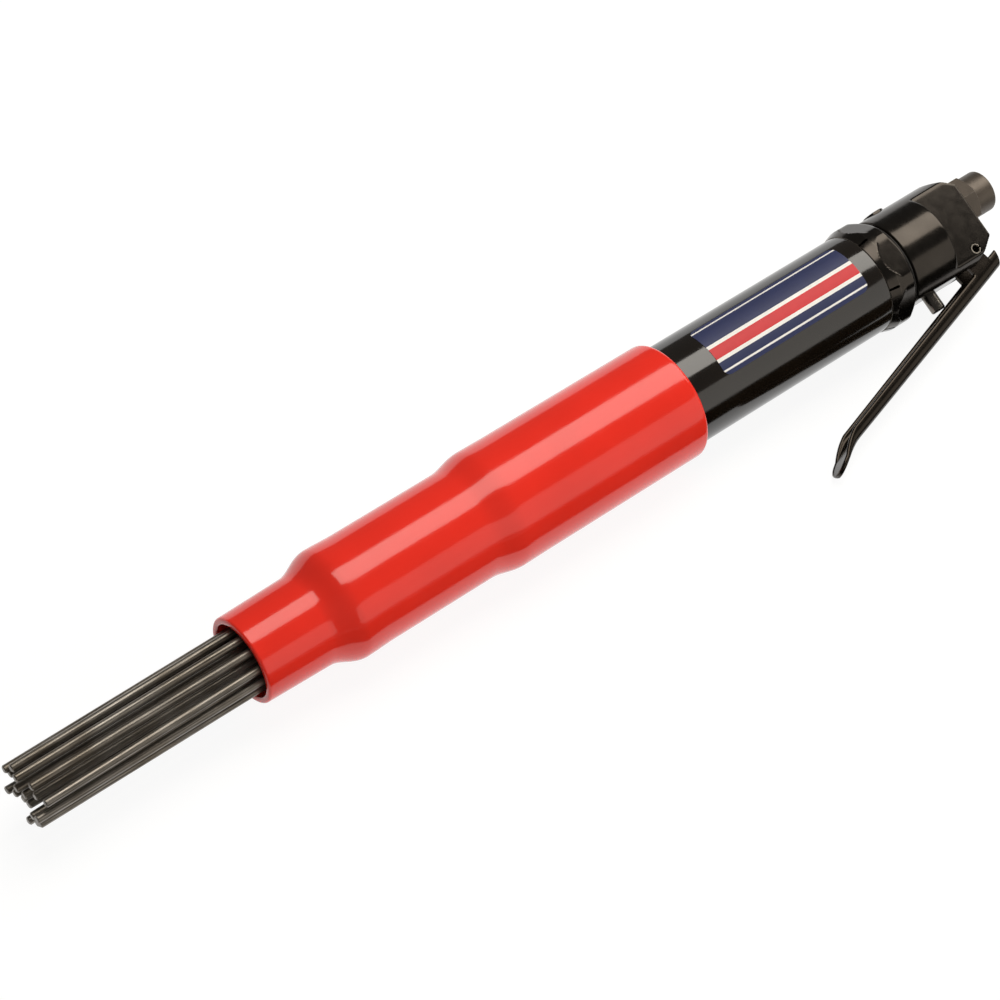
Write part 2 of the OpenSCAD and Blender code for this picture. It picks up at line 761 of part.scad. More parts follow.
module stem_seal() {
    mean_r = stem_d / 2 + run_fit + stem_seal_d / 2;
    color("#151515") laid() translate([x_stem, -stem_seal_drop, 0]) rotate([90, 0, 0])
        rotate_extrude() translate([mean_r, 0]) circle(d = stem_seal_d);
}

// Disc that carries the needles, each loose in its own hole
module needle_holder() {
    color("gray") laid() difference() {
        bar(mid_bore - 2 * run_fit, x_holder_front, x_needle_seat);
        for (i = [0:needle_count - 1])
            translate([0, needle_place(i)[0], needle_place(i)[1]])
                bar(needle_d + 2 * needle_play, x_holder_front - cut, x_needle_seat + cut);
    }
}

module return_spring() {
    color("silver") laid() translate([x_shoulder, 0, 0]) rotate([0, 90, 0])
        spring(return_wire, return_mean_d, return_turns, x_holder_front - x_shoulder);
}

// Needle i, leaning a little in its hole and lying some way back in the holder
module needle(i) {
    back = back_shares[i] * needle_slide + head_lift;
    r = needle_d / 2;
    x_head_front = x_needle_seat + back - x_holder_mid;
    x_tip = x_needle_tip + back - x_holder_mid;
    color("dimgray") laid() translate([x_holder_mid, needle_place(i)[0], needle_place(i)[1]])
        rotate([0, lean_max * lean_pin_shares[i], lean_max * lean_lever_shares[i]]) turned([
            [0, x_tip],
            [r - needle_tip_chamfer, x_tip],
            [r, x_tip + needle_tip_chamfer],
            [r, x_head_front],
            [needle_head_d / 2, x_head_front],
            [needle_head_d / 2, x_head_front + needle_head_len],
            [0, x_head_front + needle_head_len]]);
}

front_tube();
barrel();
coupling_nut();
head_seal();
rear_head();
inlet_bush();
inlet_strainer();
throttle_lever();
lever_pin();
throttle_stem();
throttle_valve();
valve_seat();
valve_spring();
valve_plug();
stem_seal();
needle_holder();
return_spring();
anvil();
anvil_bush();
piston();
chest_front();
chest_rear();
valve_disc();
chest_dowel();
for (i = [0:needle_count - 1]) needle(i);
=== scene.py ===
import json
import math
from collections import namedtuple

import bmesh
import bpy
from mathutils import Matrix, Vector


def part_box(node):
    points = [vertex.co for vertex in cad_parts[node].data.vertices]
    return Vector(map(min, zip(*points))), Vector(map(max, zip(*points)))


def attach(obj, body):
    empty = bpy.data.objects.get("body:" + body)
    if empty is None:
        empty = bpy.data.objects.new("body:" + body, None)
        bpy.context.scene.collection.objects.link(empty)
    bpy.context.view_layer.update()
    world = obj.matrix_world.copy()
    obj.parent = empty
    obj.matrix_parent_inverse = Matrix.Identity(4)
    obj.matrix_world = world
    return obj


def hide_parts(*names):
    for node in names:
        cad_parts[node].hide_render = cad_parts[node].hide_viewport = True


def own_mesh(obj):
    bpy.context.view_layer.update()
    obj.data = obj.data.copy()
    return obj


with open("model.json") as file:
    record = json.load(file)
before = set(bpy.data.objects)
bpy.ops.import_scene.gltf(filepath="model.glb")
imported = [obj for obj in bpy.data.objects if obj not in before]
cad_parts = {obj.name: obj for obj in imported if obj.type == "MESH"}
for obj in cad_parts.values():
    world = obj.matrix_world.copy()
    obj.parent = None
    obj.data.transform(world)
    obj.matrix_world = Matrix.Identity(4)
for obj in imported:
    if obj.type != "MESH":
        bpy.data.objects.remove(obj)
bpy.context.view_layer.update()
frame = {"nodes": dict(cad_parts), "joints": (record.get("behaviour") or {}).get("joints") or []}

bl_info = {
    "name": "Needle scaler",
    "version": (1, 0, 0),
    "blender": (4, 5, 0),
    "location": "View3D > Sidebar > Needle scaler",
    "description": "Dresses the solids of an in-line air needle scaler and sets up its studio picture",
    "category": "Object",
}

MM = 0.001
TURN = 2 * math.pi
SIXTH = TURN / 6
FIT = 0.03 * MM
TINY = 1e-6

# Directions of the tool: along the axis towards the inlet, towards the lever, and along the lever pin
JOINT = {j["name"]: j for j in frame["joints"]}
ALONG = Vector((1.0, 0.0, 0.0))
PINWARD = -Vector(JOINT["lever_squeeze"]["axis"]).normalized()
LEVERWARD = -Vector(JOINT["stem_push"]["axis"]).normalized()


def middle(node):
    low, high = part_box(node)
    return (low + high) / 2


AXIS = middle("barrel")
PIN_AT = Vector(JOINT["lever_squeeze"]["pos_m"])
MOUTH_X, RIM_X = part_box("front_tube")[0].x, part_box("front_tube")[1].x
BARREL_X, NECK_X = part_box("barrel")[0].x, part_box("barrel")[1].x
NUT_X, NUT_END_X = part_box("coupling_nut")[0].x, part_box("coupling_nut")[1].x
HEAD_X, HEAD_END_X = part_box("head_seal")[1].x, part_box("rear_head")[1].x
INLET_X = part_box("inlet_bush")[1].x
STEM_X = middle("throttle_stem").x
NECK_STEP = 1.85 * MM
PLUG_R = 4.35 * MM
# Needles whose points are worn further back than the rest, by their numbers
WORN_NEEDLES = {14: 1.6 * MM}


def at(x, lever=0.0, pin=0.0):
    """Point of the tool: place along the axis, distance towards the lever, distance along the pin."""
    return Vector((x, AXIS.y, AXIS.z)) + LEVERWARD * lever + PINWARD * pin


def size(value, name, what):
    return bpy.props.FloatProperty(name=name, description=what, default=value * MM, min=0.0, precision=5,
                                   unit="LENGTH", subtype="DISTANCE")


def linear(code):
    """sRGB hex to linear RGBA."""
    parts = [int(code[i:i + 2], 16) / 255 for i in (1, 3, 5)]
    return (*[c / 12.92 if c <= 0.04045 else ((c + 0.055) / 1.055) ** 2.4 for c in parts], 1.0)


def colour(code, name, what):
    return bpy.props.FloatVectorProperty(name=name, description=what, default=linear(code), size=4, min=0.0,
                                         max=1.0, subtype="COLOR")


class ScalerSizes(bpy.types.PropertyGroup):
    large_len: size(83.1, "Large section", "Length of the tube's large section")
    step_two_len: size(13.2, "Rear step", "Length of the step before the large section")
    mid_len: size(54.8, "Middle section", "Length of the tube's middle section")
    step_one_len: size(13.2, "Front step", "Length of the step behind the mouth")
    mouth_r: size(16.5, "Mouth radius", "Outside radius of the mouth")
    mouth_bore_r: size(14.0, "Mouth bore", "Bore radius of the mouth")
    mid_r: size(20.8, "Middle radius", "Outside radius of the middle section")
    mid_bore_r: size(18.3, "Middle bore", "Bore radius of the middle section")
    large_r: size(22.88, "Large radius", "Outside radius of the large section")
    barrel_r: size(19.85, "Barrel radius", "Outside radius of the barrel")
    nut_r: size(21.3, "Nut radius", "Outside radius of the coupling nut")
    nut_flat: size(1.6, "Nut flat", "Depth of a spanner flat")
    head_r: size(19.3, "Head radius", "Outside radius of the rear head")
    tongue_len: size(20.7, "Tongue", "Length of the flat-sided tongue")
    tongue_w: size(22.8, "Tongue width", "Width over the tongue's flats")
    under_drop: size(17.9, "Underside", "Distance from the axis to the flat underside")
    slot_w: size(12.3, "Clevis slot", "Width of the clevis slot")
    pin_d: size(4.5, "Roll pin", "Diameter of the roll pin")
    lever_w: size(11.5, "Lever width", "Width of the lever channel")
    lever_depth: size(4.6, "Lever depth", "Depth of the lever channel at the spoon")
    lever_taper: size(1.2, "Lever taper", "How much deeper the channel is at the pin than at the spoon")
    lever_sheet: size(1.6, "Lever sheet", "Thickness of the lever's sheet")
    lever_len: size(90.0, "Lever length", "Length from the pin to the bend of the spoon tip")
    lever_drop: size(6.3, "Lever drop", "Distance from the pin to the edge of the channel")
    lever_tail: size(9.3, "Lever tail", "Length of lever behind the pin")
    spoon_r: size(47.0, "Spoon bend", "Bend radius of the spoon tip")
    ear_r: size(5.4, "Ear radius", "Radius of the lever's ears")
    ear_gusset: size(0.6, "Ear gusset", "Length of the slope from each ear down to the channel")
    stem_d: size(5.8, "Stem", "Diameter of the throttle stem")
    inlet_offset: size(6.0, "Inlet offset", "Distance from the axis to the inlet")
    inlet_hex: size(17.0, "Inlet hexagon", "Distance across the flats of the inlet bush")
    inlet_hex_len: size(7.4, "Hexagon length", "Length of the inlet hexagon")
    collar_r: size(8.3, "Collar radius", "Radius of the inlet's round collar")
    thread_r: size(5.72, "Thread bore", "Minor radius of the inlet thread")
    thread_pitch: size(1.337, "Thread pitch", "Pitch of the inlet thread")
    needle_d: size(3.0, "Needle", "Diameter of one needle")
    needle_head_d: size(4.7, "Needle head", "Diameter of a needle's upset head")
    needle_head_len: size(3.0, "Needle head length", "Length of a needle's upset head")
    label_len: size(71.0, "Label length", "Length of the label along the barrel")
    label_w: size(23.3, "Label width", "Width of the label round the barrel")
    lever_angle: bpy.props.FloatProperty(name="Lever angle", description="Angle of the lever to the axis at rest",
                                         default=math.radians(16.4), subtype="ANGLE")
    spoon_angle: bpy.props.FloatProperty(name="Spoon angle", description="Bend of the spoon tip",
                                         default=math.radians(24.0), subtype="ANGLE")


class ScalerColours(bpy.types.PropertyGroup):
    red: colour("#E42E20", "Red enamel", "Colour of the stepped tube")
    black: colour("#120D08", "Black enamel", "Colour of the barrel")
    oxide: colour("#3B3733", "Black oxide", "Colour of the nut and the head")
    needle: colour("#7A756E", "Needle steel", "Colour of the oiled needles")
    label_field: colour("#1C2550", "Label field", "Main colour of the label")
    label_band: colour("#C51B23", "Label band", "Colour of the label's band")


def sizes():
    return bpy.context.scene.scaler_sizes


def colours():
    return bpy.context.scene.scaler_colours


def add(tree, kind, inputs=(), stops=(), **settings):
    """Adds one node: settings are its properties, inputs its values or linked sockets, stops its ramp."""
    node = tree.nodes.new(kind)
    for key, value in settings.items():
        setattr(node, key, value)
    for key, value in dict(inputs).items():
        if isinstance(value, bpy.types.NodeSocket):
            tree.links.new(value, node.inputs[key])
        else:
            node.inputs[key].default_value = value
    if stops:
        elements = node.color_ramp.elements
        while len(elements) < len(stops):
            elements.new(1.0)
        for element, (place, shade) in zip(elements, stops):
            element.position, element.color = place, shade
    return node


def tones(base, dark, light):
    """Ramp from a darker to a lighter tone of a colour."""
    return [(place, (*[min(1.0, c * factor) for c in base[:3]], 1.0)) for place, factor in ((0.3, dark), (0.7, light))]


def new_material(name):
    material = bpy.data.materials.new(name)
    material.use_nodes = True
    return material, material.node_tree, material.node_tree.nodes["Principled BSDF"]


# A pattern of blobs: about how many mm one is across, its detail, how it is squeezed along each axis, its place
Grain = namedtuple("Grain", "mm detail squeeze seed", defaults=((1.0, 1.0, 1.0), 0.0))
EDGE_GRAIN = Grain(1.2, 4.0, seed=3.0)


def surface(name, shades, rough, bump, grains, worn=None, stains=None, ior=None, metallic=0.0):
    """Material on Object coordinates, made once for each name.

    grains holds a Grain for each of colour, relief, gloss and stain that the finish has. shades and stains are
    the ramps of the colour and of a stain over it, rough one value or the two that the gloss runs between, bump
    the relief's strength and its depth in mm, and worn the colour that shows along the edges, with its share.
    """
    known = bpy.data.materials.get(name)
    if known:
        return known
    if worn:
        grains = {**grains, "edge": EDGE_GRAIN}
    material, tree, shader = new_material(name)
    place = add(tree, "ShaderNodeTexCoord").outputs["Object"]
    field = {}
    for role, grain in grains.items():
        spot = add(tree, "ShaderNodeMapping", {"Vector": place, "Location": (grain.seed,) * 3, "Scale": grain.squeeze})
        field[role] = add(tree, "ShaderNodeTexNoise", {"Vector": spot.outputs[0], "Detail": grain.detail,
                                                       "Scale": 1.0 / (grain.mm * MM)}).outputs["Fac"]
    paint = add(tree, "ShaderNodeValToRGB", {"Fac": field["colour"]}, stops=shades).outputs["Color"]
    if stains:
        layer = add(tree, "ShaderNodeValToRGB", {"Fac": field["stain"]}, stops=stains).outputs["Color"]
        paint = add(tree, "ShaderNodeMix", {0: 1.0, 6: paint, 7: layer}, data_type="RGBA",
                    blend_type="MULTIPLY").outputs[2]
    if worn:
        # rubbed along the piece's own edges, broken up by fine noise
        edge = add(tree, "ShaderNodeAttribute", attribute_name="edge").outputs["Fac"]
        broken = add(tree, "ShaderNodeMath", {0: edge, 1: field["edge"]}, operation="MULTIPLY").outputs[0]
        share = add(tree, "ShaderNodeMapRange", {"Value": broken, "From Min": 0.25, "From Max": 0.6, "To Min": 0.0,
                                                 "To Max": worn[1]}).outputs[0]
        paint = add(tree, "ShaderNodeMix", {0: share, 6: paint, 7: linear(worn[0])}, data_type="RGBA").outputs[2]
    tree.links.new(paint, shader.inputs["Base Color"])
    if "gloss" in grains:
        gloss = add(tree, "ShaderNodeMapRange", {"Value": field["gloss"], "From Min": 0.3, "From Max": 0.7,
                                                 "To Min": rough[0], "To Max": rough[1]}).outputs[0]
        tree.links.new(gloss, shader.inputs["Roughness"])
    else:
        shader.inputs["Roughness"].default_value = rough
    relief = add(tree, "ShaderNodeBump", {"Height": field["relief"], "Strength": bump[0], "Distance": bump[1] * MM})
    tree.links.new(relief.outputs["Normal"], shader.inputs["Normal"])
    shader.inputs["Metallic"].default_value = metallic
    if ior:
        shader.inputs["IOR"].default_value = ior
    return material


def red_enamel():
    """Gloss stoving enamel on drawn steel tube: deep even red, faint orange peel, thin on the edges."""
    # orange peel of about 2 mm
    return surface("red_stoving_enamel", tones(colours().red, 0.94, 1.05), (0.11, 0.15), (0.03, 0.1),
                   {"colour": Grain(28.0, 3.0), "gloss": Grain(6.0, 5.0, seed=1.0),
                    "relief": Grain(2.0, 1.0, seed=2.0)}, worn=("#A31612", 0.45), ior=1.5)


def black_enamel():
    """Gloss black enamel on the turned barrel: warm black, crisp highlight, faint lathe rings below it."""
    # lathe rings 0.7 mm apart, softened by the paint
    return surface("black_gloss_enamel", tones(colours().black, 0.8, 1.3), (0.09, 0.14), (0.04, 0.1),
                   {"colour": Grain(22.0, 3.0), "gloss": Grain(7.0, 5.0, seed=1.0),
                    "relief": Grain(14.0, 2.0, (20.0, 0.3, 0.3), 4.0)}, worn=("#5A544B", 0.6), ior=1.63)


def black_oxide(name="oiled_black_oxide_steel", base=None, rough=0.18, lines=(6.0, 0.4, 0.4), metallic=0.95):
    """Chemically blackened steel, oiled: dark grey with a satin metal glint, paler where edges are rubbed."""
    # tool marks about 0.8 mm apart, drawn coarse enough to show
    return surface(name, tones(base or colours().oxide, 0.9, 1.1), (rough - 0.03, rough + 0.03), (0.025, 0.1),
                   {"colour": Grain(9.0, 4.0), "gloss": Grain(3.0, 5.0, seed=1.0),
                    "relief": Grain(5.0, 3.0, lines, 2.0)}, worn=("#8F887E", 0.4), metallic=metallic)


def needle_wire():
    """Hardened drawn wire, oiled and dark: long draw lines, glints along the shank and grey worn ends."""
    # draw lines along the needle, about 0.4 mm apart
    lines = Grain(8.0, 4.0, (0.4, 18.0, 18.0))
    return surface("oiled_drawn_needle_wire", tones(colours().needle, 0.5, 1.6), (0.28, 0.42), (0.08, 0.1),
                   {"colour": lines, "relief": lines, "gloss": Grain(4.0, 4.0, seed=1.0),
                    "stain": Grain(14.0, 4.0, seed=5.0)}, worn=("#D8D2CA", 1.0),
                   stains=[(0.35, linear("#CFC9C0")), (0.65, linear("#FFFFFF"))], metallic=0.75)


def plain_metal(name, code, rough, worn="#C9C4BC", lines=(4.0, 0.5, 0.5)):
    """Turned or ground bare metal: its own colour, fine tool lines and slightly uneven gloss."""
    # tool lines about 0.75 mm apart, drawn coarse enough to show
    return surface(name, tones(linear(code), 0.8, 1.15), (rough - 0.06, rough + 0.08), (0.08, 0.08),
                   {"colour": Grain(6.0, 4.0), "gloss": Grain(2.0, 4.0, seed=1.0),
                    "relief": Grain(3.0, 3.0, lines, 2.0)}, worn=(worn, 0.6), metallic=1.0)


def nitrile_rubber():
    """Moulded nitrile rubber: matt near-black with a dusty bloom."""
    return surface("moulded_nitrile_rubber", [(0.35, linear("#0E0D0C")), (0.75, linear("#24211E"))], 0.75,
                   (0.15, 0.05), {"colour": Grain(3.0, 5.0), "relief": Grain(0.6, 2.0)})


def printed_film():
    """Printed vinyl film, matt laminated: flat inks with crisp borders and hardly any shine."""
    # the film's own faint unevenness, over which the inks go
    material = surface("printed_vinyl_film", tones((1.0, 1.0, 1.0), 0.9, 1.0), 0.55, (0.04, 0.05),
                       {"colour": Grain(5.0, 4.0), "relief": Grain(1.5, 2.0, seed=2.0)}, ior=1.5)
    tree = material.node_tree
    base = tree.nodes["Principled BSDF"].inputs["Base Color"]
    uv = add(tree, "ShaderNodeUVMap", uv_map="film").outputs["UV"]
    across = add(tree, "ShaderNodeSeparateXYZ", {"Vector": uv}).outputs["Y"]
    field, band, white = colours().label_field, colours().label_band, linear("#E9E7E3")
    inks = add(tree, "ShaderNodeValToRGB", {"Fac": across},
               stops=[(0.0, field), (0.07, white), (0.1, field), (0.24, white), (0.3, band), (0.5, white),
                      (0.56, field), (0.9, white), (0.93, field)])
    inks.color_ramp.interpolation = "CONSTANT"
    printed = add(tree, "ShaderNodeMix", {0: 1.0, 6: inks.outputs["Color"], 7: base.links[0].from_socket},
                  data_type="RGBA", blend_type="MULTIPLY")
    tree.links.new(printed.outputs[2], base)
    return material


def placed(name, data):
    thing = bpy.data.objects.new(name, data)
    bpy.context.scene.collection.objects.link(thing)
    return thing


def mark_edges(mesh):
    """Stores how sharply the surface bends at each point, as the attribute that the worn edges read."""
    least_bend, full_bend = 0.25, 1.15
    work = bmesh.new()
    work.from_mesh(mesh)
    values = []
    for vertex in work.verts:
        bend = 0.0
        for edge in vertex.link_edges:
            if len(edge.link_faces) == 2:
                reach = sum(face.calc_area() for face in edge.link_faces) / max(edge.calc_length(), TINY / 10)
                bend = max(bend, edge.calc_face_angle_signed(0.0) / max(reach, TINY) * MM)
        values.append(min(1.0, max(0.0, (bend - least_bend) / (full_bend - least_bend))))
    work.free()
    layer = mesh.attributes.new("edge", "FLOAT", "POINT")
    layer.data.foreach_set("value", values)


def finish_piece(mesh, name, body, material, nodes=(), smooth=38.0, edges=True):
    """Makes the mesh a finished piece: shading, worn edges, material, body, slot and the nodes it stands for."""
    work = bmesh.new()
    work.from_mesh(mesh)
    bmesh.ops.remove_doubles(work, verts=work.verts, dist=TINY / 10)
    bmesh.ops.recalc_face_normals(work, faces=work.faces)
    work.to_mesh(mesh)
    work.free()
    for polygon in mesh.polygons:
        polygon.use_smooth = True
    mesh.set_sharp_from_angle(angle=math.radians(smooth))
    if edges:
        mark_edges(mesh)
    mesh.materials.clear()
    mesh.materials.append(material)
    mesh.name = name
    piece = placed(name, mesh)
    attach(piece, body)
    if nodes:
        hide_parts(*nodes)
    return piece


def loft(rings, loop=False):
    """Skins a row of rings with equally many points. A row that isn't a loop gets flat ends."""
    count = len(rings[0])
    faces = []
    for i in range(len(rings) if loop else len(rings) - 1):
        a, b = i * count, (i + 1) % len(rings) * count
        faces += [(a + k, a + (k + 1) % count, b + (k + 1) % count, b + k) for k in range(count)]
    if not loop:
        faces.append(tuple(range(count))[::-1])
        last = (len(rings) - 1) * count
        faces.append(tuple(range(last, last + count)))
    mesh = bpy.data.meshes.new("loft")
    mesh.from_pydata([point for ring in rings for point in ring], [], faces)
    return mesh


def turned(outline, loop=False, shape=None, segments=192, place=None, axis=ALONG, start=PINWARD):
    """Turns (distance along, radius) points about an axis; shape(i, along, radius, angle) may bend them."""
    place = at(0.0) if place is None else place
    side = axis.cross(start)
    rings = []
    for i, (along, radius) in enumerate(outline):
        ring = []
        for k in range(segments):
            angle = TURN * k / segments
            r = shape(i, along, radius, angle) if shape else radius
            ring.append(place + axis * along + (start * math.cos(angle) + side * math.sin(angle)) * r)
        rings.append(ring)
    return loft(rings, loop)


def quarter(steps):
    """Angles of a quarter turn, with both ends."""
    return [math.pi / 2 * k / steps for k in range(steps + 1)]


def rounded(points, radii, steps=6, closed=True):
    """Outline with its corners rounded; radii in mm, one for each point."""
    out = []
    total = len(points)
    most = 0.49
    for i, (point, radius) in enumerate(zip(points, radii)):
        here = Vector(point)
        if radius <= 0 or (not closed and i in (0, total - 1)):
            out.append(tuple(here))
            continue
        before, after = Vector(points[i - 1]) - here, Vector(points[(i + 1) % total]) - here
        half = before.angle(after) / 2
        reach = min(radius * MM / math.tan(half), before.length * most, after.length * most)
        a, b = here + before.normalized() * reach, here + after.normalized() * reach
        for k in range(steps + 1):
            t = k / steps
            out.append(tuple(a * (1 - t) ** 2 + here * 2 * t * (1 - t) + b * t ** 2))
    return out


def s_bend(xa, xb, ra, rb, steps):
    return [(xa + (xb - xa) * k / steps, ra + (rb - ra) * (1 - math.cos(math.pi * k / steps)) / 2)
            for k in range(steps + 1)]


def fine(outline, longest):
    """Cuts the long straight runs of an outline into shorter ones; longest in mm."""
    out = []
    for i, point in enumerate(outline):
        out.append(point)
        if i + 1 < len(outline):
            a, b = Vector(point), Vector(outline[i + 1])
            parts = int((b - a).length / (longest * MM))
            out += [tuple(a.lerp(b, k / (parts + 1))) for k in range(1, parts + 1)]
    return out


def soft_min(values, sharp):
    """Least of the values, rounded a little where two of them meet; the higher sharp is, the less."""
    least = min(values)
    return least * sum((value / least) ** -sharp for value in values) ** (-1 / sharp)


def from_flat(angle):
    """Angle to the middle of the nearest of six faces."""
    return (angle + SIXTH / 2) % SIXTH - SIXTH / 2


def cut_away(mesh, cutters):
    """Boolean difference of a closed mesh and a list of closed meshes."""
    base = placed("cut_base", mesh)
    tools = []
    for cutter in cutters:
        work = bmesh.new()
        work.from_mesh(cutter)
        bmesh.ops.recalc_face_normals(work, faces=work.faces)
        work.to_mesh(cutter)
        work.free()
        tools.append(placed("cutter", cutter))
        modifier = base.modifiers.new("cut", "BOOLEAN")
        modifier.operation = "DIFFERENCE"
        modifier.solver = "EXACT"
        modifier.object = tools[-1]
    depsgraph = bpy.context.evaluated_depsgraph_get()
    result = bpy.data.meshes.new_from_object(base.evaluated_get(depsgraph))
    for thing in (base, *tools):
        bpy.data.objects.remove(thing)
    return result


def block(corner, x_len, lever_len, pin_len):
    """Box in the tool's own directions from one corner."""
    ring = [corner, corner + LEVERWARD * lever_len, corner + LEVERWARD * lever_len + PINWARD * pin_len,
            corner + PINWARD * pin_len]
    return loft([ring, [point + ALONG * x_len for point in ring]])


def grown(tree, values):
    """Runs a Geometry Nodes tree with its named inputs set, and gives back the plain mesh."""
    holder = placed("grown", bpy.data.meshes.new("grown"))
    modifier = holder.modifiers.new("grow", "NODES")
    modifier.node_group = tree
    for item in tree.interface.items_tree:
        if item.item_type == "SOCKET" and item.in_out == "INPUT":
            modifier[item.identifier] = values[item.name]
    depsgraph = bpy.context.evaluated_depsgraph_get()
    mesh = bpy.data.meshes.new_from_object(holder.evaluated_get(depsgraph))
    holder.modifiers.remove(modifier)
    bpy.data.objects.remove(holder)
    if not mesh.polygons:
        raise RuntimeError(f"{tree.name} gave no faces")
    return mesh


def new_tree(name, inputs):
    """Starts a Geometry Nodes tree; inputs are names with their defaults, all plain numbers."""
    tree = bpy.data.node_groups.new(name, "GeometryNodeTree")
    for label, value in inputs.items():
        tree.interface.new_socket(name=label, in_out="INPUT", socket_type="NodeSocketFloat").default_value = value
    tree.interface.new_socket(name="Geometry", in_out="OUTPUT", socket_type="NodeSocketGeometry")
    return tree, add(tree, "NodeGroupInput").outputs


def end_tree(tree, geometry, material):
    """Realises the result and gives it its material."""
    real = add(tree, "GeometryNodeRealizeInstances", {"Geometry": geometry})
    dressed = add(tree, "GeometryNodeSetMaterial", {"Geometry": real.outputs[0], "Material": material})
    add(tree, "NodeGroupOutput", {"Geometry": dressed.outputs[0]})


class SCALER_OT_front_tube(bpy.types.Operator):
    """Makes the red stepped tube with its S-shaped steps, rolled lip and rounded rear rim"""
    bl_idname = "scaler.front_tube"
    bl_label = "Front tube"

    def execute(self, context):
        s = sizes()
        large = RIM_X - s.large_len
        step_two = large - s.step_two_len
        mid = step_two - s.mid_len
        step_one = mid - s.step_one_len
        shoulder = mid - 1.4 * MM
        lip, rim, inner_lip = 1.1 * MM, 2.0 * MM, 0.7 * MM
        # the mouth flares a little towards its step, and each step crests before the section behind it
        flared = s.mouth_r + 0.5 * MM
        mid_crest, large_crest, crest_len = s.mid_r + 0.35 * MM, s.large_r + 0.12 * MM, 12 * MM
        outside = [(MOUTH_X + lip - lip * math.cos(a), s.mouth_r - lip + lip * math.sin(a)) for a in quarter(8)]
        outside += s_bend(step_one, mid, flared, mid_crest, 28)
        outside += s_bend(mid, mid + crest_len, mid_crest, s.mid_r, 12)[1:]
        outside += s_bend(step_two, large, s.mid_r, large_crest, 28)
        outside += s_bend(large, large + crest_len, large_crest, s.large_r, 12)[1:]
        outside += [(RIM_X - rim + rim * math.sin(a), s.large_r - rim + rim * math.cos(a)) for a in quarter(8)]
        bore = s.barrel_r + FIT
        inside = rounded([(RIM_X, bore), (BARREL_X, bore), (BARREL_X, s.mid_bore_r), (shoulder, s.mid_bore_r),
                          (shoulder, s.mouth_bore_r), (MOUTH_X, s.mouth_bore_r)], [0, 0, 0, 0.5, 0.5, 0],
                         closed=False)
        inside[-1:] = [(MOUTH_X + inner_lip - inner_lip * math.sin(a),
                        s.mouth_bore_r + inner_lip - inner_lip * math.cos(a)) for a in quarter(5)]
        mesh = turned(fine(outside, 3) + fine(inside, 8), loop=True, segments=224)
        finish_piece(mesh, "stepped_tube", "tool", red_enamel(), ["front_tube"])
        return {"FINISHED"}


class SCALER_OT_barrel(bpy.types.Operator):
    """Makes the gloss black barrel, and the film label that follows its surface"""
    bl_idname = "scaler.barrel"
    bl_label = "Barrel and label"

    def execute(self, context):
        s = sizes()
        neck = s.barrel_r - NECK_STEP
        bore = s.barrel_r - 7.15 * MM
        outline = rounded([(BARREL_X, bore), (BARREL_X, s.barrel_r), (NUT_X, s.barrel_r), (NUT_X, neck),
                           (NECK_X, neck), (NECK_X, bore)], [0, 0.4, 0.4, 0, 0.3, 0])
        finish_piece(turned(fine(outline, 4), loop=True, segments=224), "hammer_barrel", "tool",
                     black_enamel(), ["barrel"])

        # label: a rounded rectangle wrapped round the barrel, turned a little away from the lever
        half_l, half_w, corner = s.label_len / 2, s.label_w / 2, 3 * MM
        centre_x = NUT_X - 7.9 * MM - half_l
        turn = math.radians(-16.5)
        proud, sunk = 0.12 * MM, -0.08 * MM
        columns, straight_rows = 36, 24
        rows = [-half_w + corner * (1 - math.cos(a)) for a in quarter(6)[:-1]]
        rows += [-half_w + corner + (s.label_w - 2 * corner) * k / straight_rows for k in range(straight_rows)]
        rows += [half_w - corner + corner * math.sin(a) for a in quarter(6)]
        verts, uvs = [], []
        for lift in (proud, sunk):
            r = s.barrel_r + lift
            for row in rows:
                over = max(0.0, abs(row) - (half_w - corner))
                reach = half_l - corner + math.sqrt(max(0.0, corner ** 2 - over ** 2))
                angle = turn + row / s.barrel_r
                for k in range(columns + 1):
                    x = -reach + 2 * reach * k / columns
                    verts.append(at(centre_x + x, r * math.sin(angle), r * math.cos(angle)))
                    uvs.append((0.5 + x / s.label_len, 0.5 - row / s.label_w))
        wide, deep = columns + 1, len(rows)
        under = wide * deep
        grid = [(j * wide + k, j * wide + k + 1, (j + 1) * wide + k + 1, (j + 1) * wide + k)
                for j in range(deep - 1) for k in range(columns)]
        rim = list(range(wide)) + [j * wide + columns for j in range(1, deep)]
        rim += [(deep - 1) * wide + k for k in range(columns - 1, -1, -1)]
        rim += [j * wide for j in range(deep - 2, 0, -1)]
        faces = grid + [tuple(under + v for v in face[::-1]) for face in grid]
        faces += [(a, b, under + b, under + a) for a, b in zip(rim, rim[1:] + rim[:1])]
        mesh = bpy.data.meshes.new("label")
        mesh.from_pydata(verts, [], faces)
        layer = mesh.uv_layers.new(name="film")
        for loop in mesh.loops:
            layer.data[loop.index].uv = uvs[loop.vertex_index]
        finish_piece(mesh, "barrel_label", "tool", printed_film(), edges=False)
        return {"FINISHED"}


